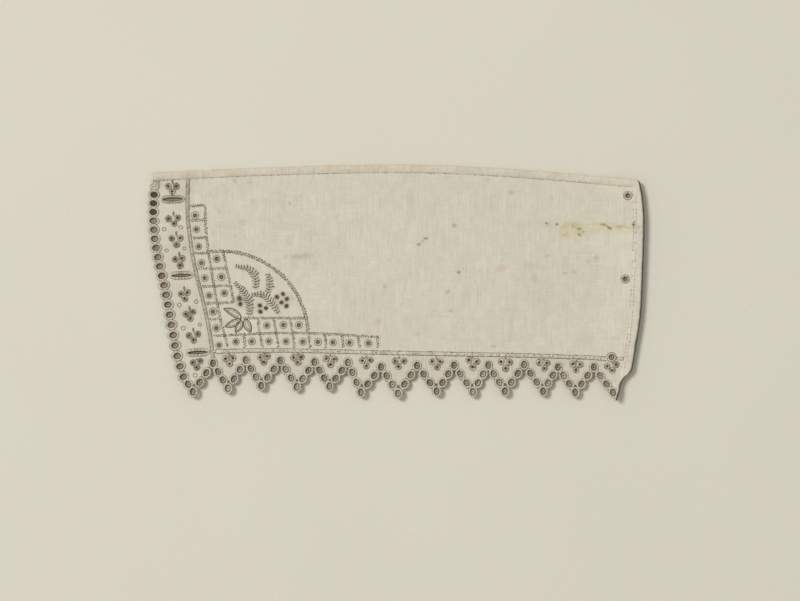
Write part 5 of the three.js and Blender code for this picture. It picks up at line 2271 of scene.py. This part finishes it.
@dataclass
class RunningStitches(Motif):
    """The lines of small stitches that hold the binding and the hem down."""

    name = "running_stitches"
    stitch: float = 1.25
    gap: float = 0.45
    inset: float = 0.75
    # From the first line down the hem to the second
    apart: float = 1.2
    corner_line: tuple = ((-109.3, 46.5), (-106.5, 46.8), (-103.8, 46.6))
    # Dark knots at the inner line of the hem: X, Y and width
    hem_knots: tuple = ((109.0, 26.2, 0.85), (109.4, 27.6, 0.5), (109.7, 22.5, 0.4))
    # The pale knot that closes the corner between the two seams
    corner_knot: tuple = (-83.3, -31.8, 1.3)
    seed: int = 26

    def lay(self, work: Work) -> None:
        """Lays the grey cord under the binding, painted shade for the shadow line of its fold, the line of
        stitches there, the two down the hem and the short one in the worn corner.

        Args:
            work: the piece in the making.
        """
        binding, hem = Plan.of("top_binding").outline, Plan.of("right_hem").outline
        under = np.array([(x, crossings(binding, 0, x)[0] - 0.15) for x in np.linspace(-104.0, 107.0, 60)])
        heights = np.linspace(hem[:, 1].max() - 1.0, -40.0, 40)
        beside = np.array([(crossings(hem, 1, y)[0] + self.inset, y) for y in heights])
        # A thin grey cord along the binding's lower edge: painted shade, the shadow line under the fold
        work.cord(lifted(smooth_line(under, 1.0), FACE), 0.11, Dye.GREY.light(1.1))
        self._line(work, under, 1.10, 0.45, Dye.GREY.light(1.05))
        self._line(work, beside, 1.42, 0.75, Dye.WORN.light(0.92))
        self._line(work, beside - (self.apart, 0.0), 1.0, 0.7, Dye.WORN.light(1.06))
        self._line(work, np.array(self.corner_line), 1.0, 0.9, Dye.BROWN.light())
        spots = np.array(self.hem_knots)
        work.knots(lifted(spots[:, :2], 1.35), spots[:, 2], 0.3, Dye.BROWN.light())
        x, y, width = self.corner_knot
        work.knots(np.array([[x, y, 0.75]]), np.array([width]), 0.4, Dye.RIM.light())

    def _line(self, work: Work, line: Array, level: float, kept: float, dye: Array) -> None:
        """Lays stitches along a line, leaving some out.

        Args:
            work: the piece in the making.
            line: X and Y of its places, a row each.
            level: the height of the stitches.
            kept: the share of them that is laid.
            dye: their colour.
        """
        spaced = smooth_line(line, self.stitch + self.gap)
        starts, ends = spaced[:-1], spaced[1:]
        ends = starts + (ends - starts) * self.stitch / (self.stitch + self.gap)
        chosen = work.rng.random(len(starts)) < kept
        work.stitches(lifted(starts[chosen], level), lifted(ends[chosen], level), 0.28, 0.22, dye, 0.2)


@dataclass
class LooseThreads(Motif):
    """Fine ends that have worked loose beside the side edging, and the fuzz of the worn corner."""

    name = "loose_threads"
    # X and Y of the loose ends, and the way they set out
    starts: Sequence[Triple] = (
        (-106.9, -17.5, 3.2), (-105.6, -24.4, 3.0), (-104.4, -33.5, 2.8),
    )
    radius: float = 0.05
    length: float = 1.8
    bends: int = 12
    corner: Pair = (-110.5, 47.0)
    corner_spread: Pair = (1.9, 1.0)
    hairs: int = 26
    hair_bends: int = 7
    hair_step: float = 0.32
    seed: int = 27

    def lay(self, work: Work) -> None:
        """Lays the loose ends on the table and the fuzz on the corner.

        Args:
            work: the piece in the making.
        """
        rng = work.rng
        for x, y, angle in self.starts:
            steps = on_circle(np.cumsum(rng.normal(0, 0.32, self.bends)) + angle) * self.length / self.bends
            flat = np.vstack([[x, y], (x, y) + np.cumsum(steps * rng.uniform(0.7, 1.3), axis=0)])
            fall = np.linspace(0.9, 0.1, len(flat)) ** 1.5
            dye = Dye.WORN if rng.random() < 0.5 else Dye.CREAM
            work.cord(lifted(flat, fall), self.radius, dye.light(), sides=4)
        for _ in range(self.hairs):
            root = self.corner + rng.normal(0, 1, 2) * self.corner_spread
            angle = rng.uniform(0, 2 * math.pi)
            steps = on_circle(np.cumsum(rng.normal(0, 0.5, self.hair_bends)) + angle) * self.hair_step
            rise = 1.35 + 0.25 * np.sin(np.linspace(0, math.pi, self.hair_bends))
            dye = Dye.GREY if rng.random() < 0.25 else Dye.CREAM
            work.cord(lifted(root + np.cumsum(steps, axis=0), rise), self.radius, dye.light(), sides=4)


# The view


@dataclass(frozen=True)
class Studio:
    """A plain pale floor, soft light from the upper left, and a camera that looks straight down."""

    millimetres_per_pixel: float = 0.46
    frame_width: int = 800
    lens: float = 85.0
    sensor: float = 36.0
    aim: Pair = (2.0, -8.51)
    floor_reach: float = 3.0
    key_distance: float = 5.0
    key_size: float = 1.7
    key_turn: float = 149.0
    key_rise: float = 52.0
    key_share: float = 0.53
    fill_share: float = 0.47

    def build(self) -> None:
        """Sets the floor, the lights and the camera."""
        self._floor()
        self._key()
        self._fill()
        self._camera()
        bpy.context.scene.view_settings.view_transform = "Standard"

    def _floor(self) -> None:
        """Lays the floor just under the cuff."""
        nothing_selected()
        bpy.ops.mesh.primitive_plane_add(size=2 * self.floor_reach, location=(0, 0, -0.02 * MM))
        floor = bpy.context.object
        floor.name = "pale_floor"
        bpy.ops.object.transform_apply(location=True, rotation=True, scale=True)
        floor.data.materials.append(PaperFinish().build())

    def _key(self) -> None:
        """Hangs the soft key light."""
        turn, rise = math.radians(self.key_turn), math.radians(self.key_rise)
        place = Vector((math.cos(rise) * math.cos(turn), math.cos(rise) * math.sin(turn), math.sin(rise)))
        light = bpy.data.lights.new("key_light", "AREA")
        light.shape = "DISK"
        light.size = self.key_size
        light.energy = self.key_share * math.pi**2 * self.key_distance**2 / math.sin(rise)
        lamp = bpy.data.objects.new("key_light", light)
        lamp.location = place * self.key_distance
        lamp.rotation_euler = place.to_track_quat("Z", "Y").to_euler()
        bpy.context.collection.objects.link(lamp)

    def _fill(self) -> None:
        """Fills the room with even light."""
        world = bpy.data.worlds.new("even_room")
        world.use_nodes = True
        ground = world.node_tree.nodes["Background"]
        ground.inputs["Color"].default_value = (1.0, 1.0, 1.0, 1.0)
        ground.inputs["Strength"].default_value = self.fill_share
        bpy.context.scene.world = world

    def _camera(self) -> None:
        """Sets the camera over the cuff, at the scale of the picture."""
        width = self.millimetres_per_pixel * self.frame_width * MM
        camera = bpy.data.cameras.new("camera")
        camera.lens = self.lens
        camera.sensor_width = self.sensor
        view = bpy.data.objects.new("camera", camera)
        view.location = (self.aim[0] * MM, self.aim[1] * MM, width * self.lens / self.sensor)
        bpy.context.collection.objects.link(view)
        bpy.context.scene.camera = view


def main() -> None:
    """Builds the cuff, part by part, and then the view of it."""
    logging.basicConfig(level=logging.INFO, format="%(message)s")
    Studio().build()
    band_trefoils = Trefoils("band_trefoils", BAND_TREFOILS)
    border_trefoils = Trefoils(
        "border_trefoils", BORDER_TREFOILS, faces=(Dye.WORN, Dye.RIM), filled=0.2, seed=28,
    )
    squares = SquareEyelets()
    edging = EyeletEdging()
    side_seam = OpenSeam("side_seam", runs_along=1)
    cotton = CottonFinish()
    folded = CottonFinish(
        "folded_cotton", (207, 200, 181), (209, 197, 176), contrast=0.05, clouds=0.07, mottle=0.05,
    )
    finishes = {Slot.COTTON: cotton.build(), Slot.FOLDED: folded.build(), Slot.THREAD: ThreadFinish().build()}
    room = Workroom(Lie(), Soil(), Forms(), finishes)
    room.soil.mark(hole.centre for holes in edging.openings().values() for hole in holes)
    room.soil.mark(hole.centre for hole in squares.places())
    room.soil.mark(band_trefoils.places() + border_trefoils.places())
    room.soil.mark(map(tuple, side_seam.centre_line(1.5)))

    # Both folds darken towards their edge: on the binding mild warm dirt, on the hem painted shade, a contact
    # shadow along its edge
    binding = FoldedStrip("top_binding", runs_along=0, corner=0.8, fold_dirt_and_shade=(0.95, 0.92, 0.88)).build(room)
    hem = FoldedStrip(
        "right_hem", runs_along=1, step=0.4, height=1.56, pucker=0.04, corner=0.7, past=3.3, foot=-47.7,
        foot_lap=2.8, fold_rows=HEM_FOLD, base=(0.98, 1.0, 1.02), fold_dirt_and_shade=(0.08, 0.07, 0.05), fold_dirt_and_shade_reach=0.92,
    ).build(room)
    ClothLayer("main_panel", edges=(binding, hem)).build(room)
    for strip, trefoils, base in (
        ("button_band", band_trefoils, (0.99, 0.99, 0.99)),
        ("pointed_border", border_trefoils, (0.96, 0.955, 0.95)),
    ):
        holes = [(x, y, trefoils.hole + 0.05) for x, y in trefoils.places()]
        ClothLayer(strip, spacing=0.6, base=base, eyelets=holes).build(room)

    lower_seam = OpenSeam(
        "lower_seam", runs_along=0, cords=0.84, cord_radius=0.14, rung_dye=Dye.RIM, knot_share=0.7, seed=29,
    )
    for part in (
        RunningStitches(), side_seam, lower_seam, SeamEnd(), edging, Buttonholes(), RoundEyelets(), squares,
        band_trefoils, border_trefoils, SmallRings(), CornerLattice(side_seam.centre_line(1.0)), *FERNS,
        *LEAVES, SatinDots(), LooseThreads(),
    ):
        part.build(room)


if __name__ == "__main__":
    main()
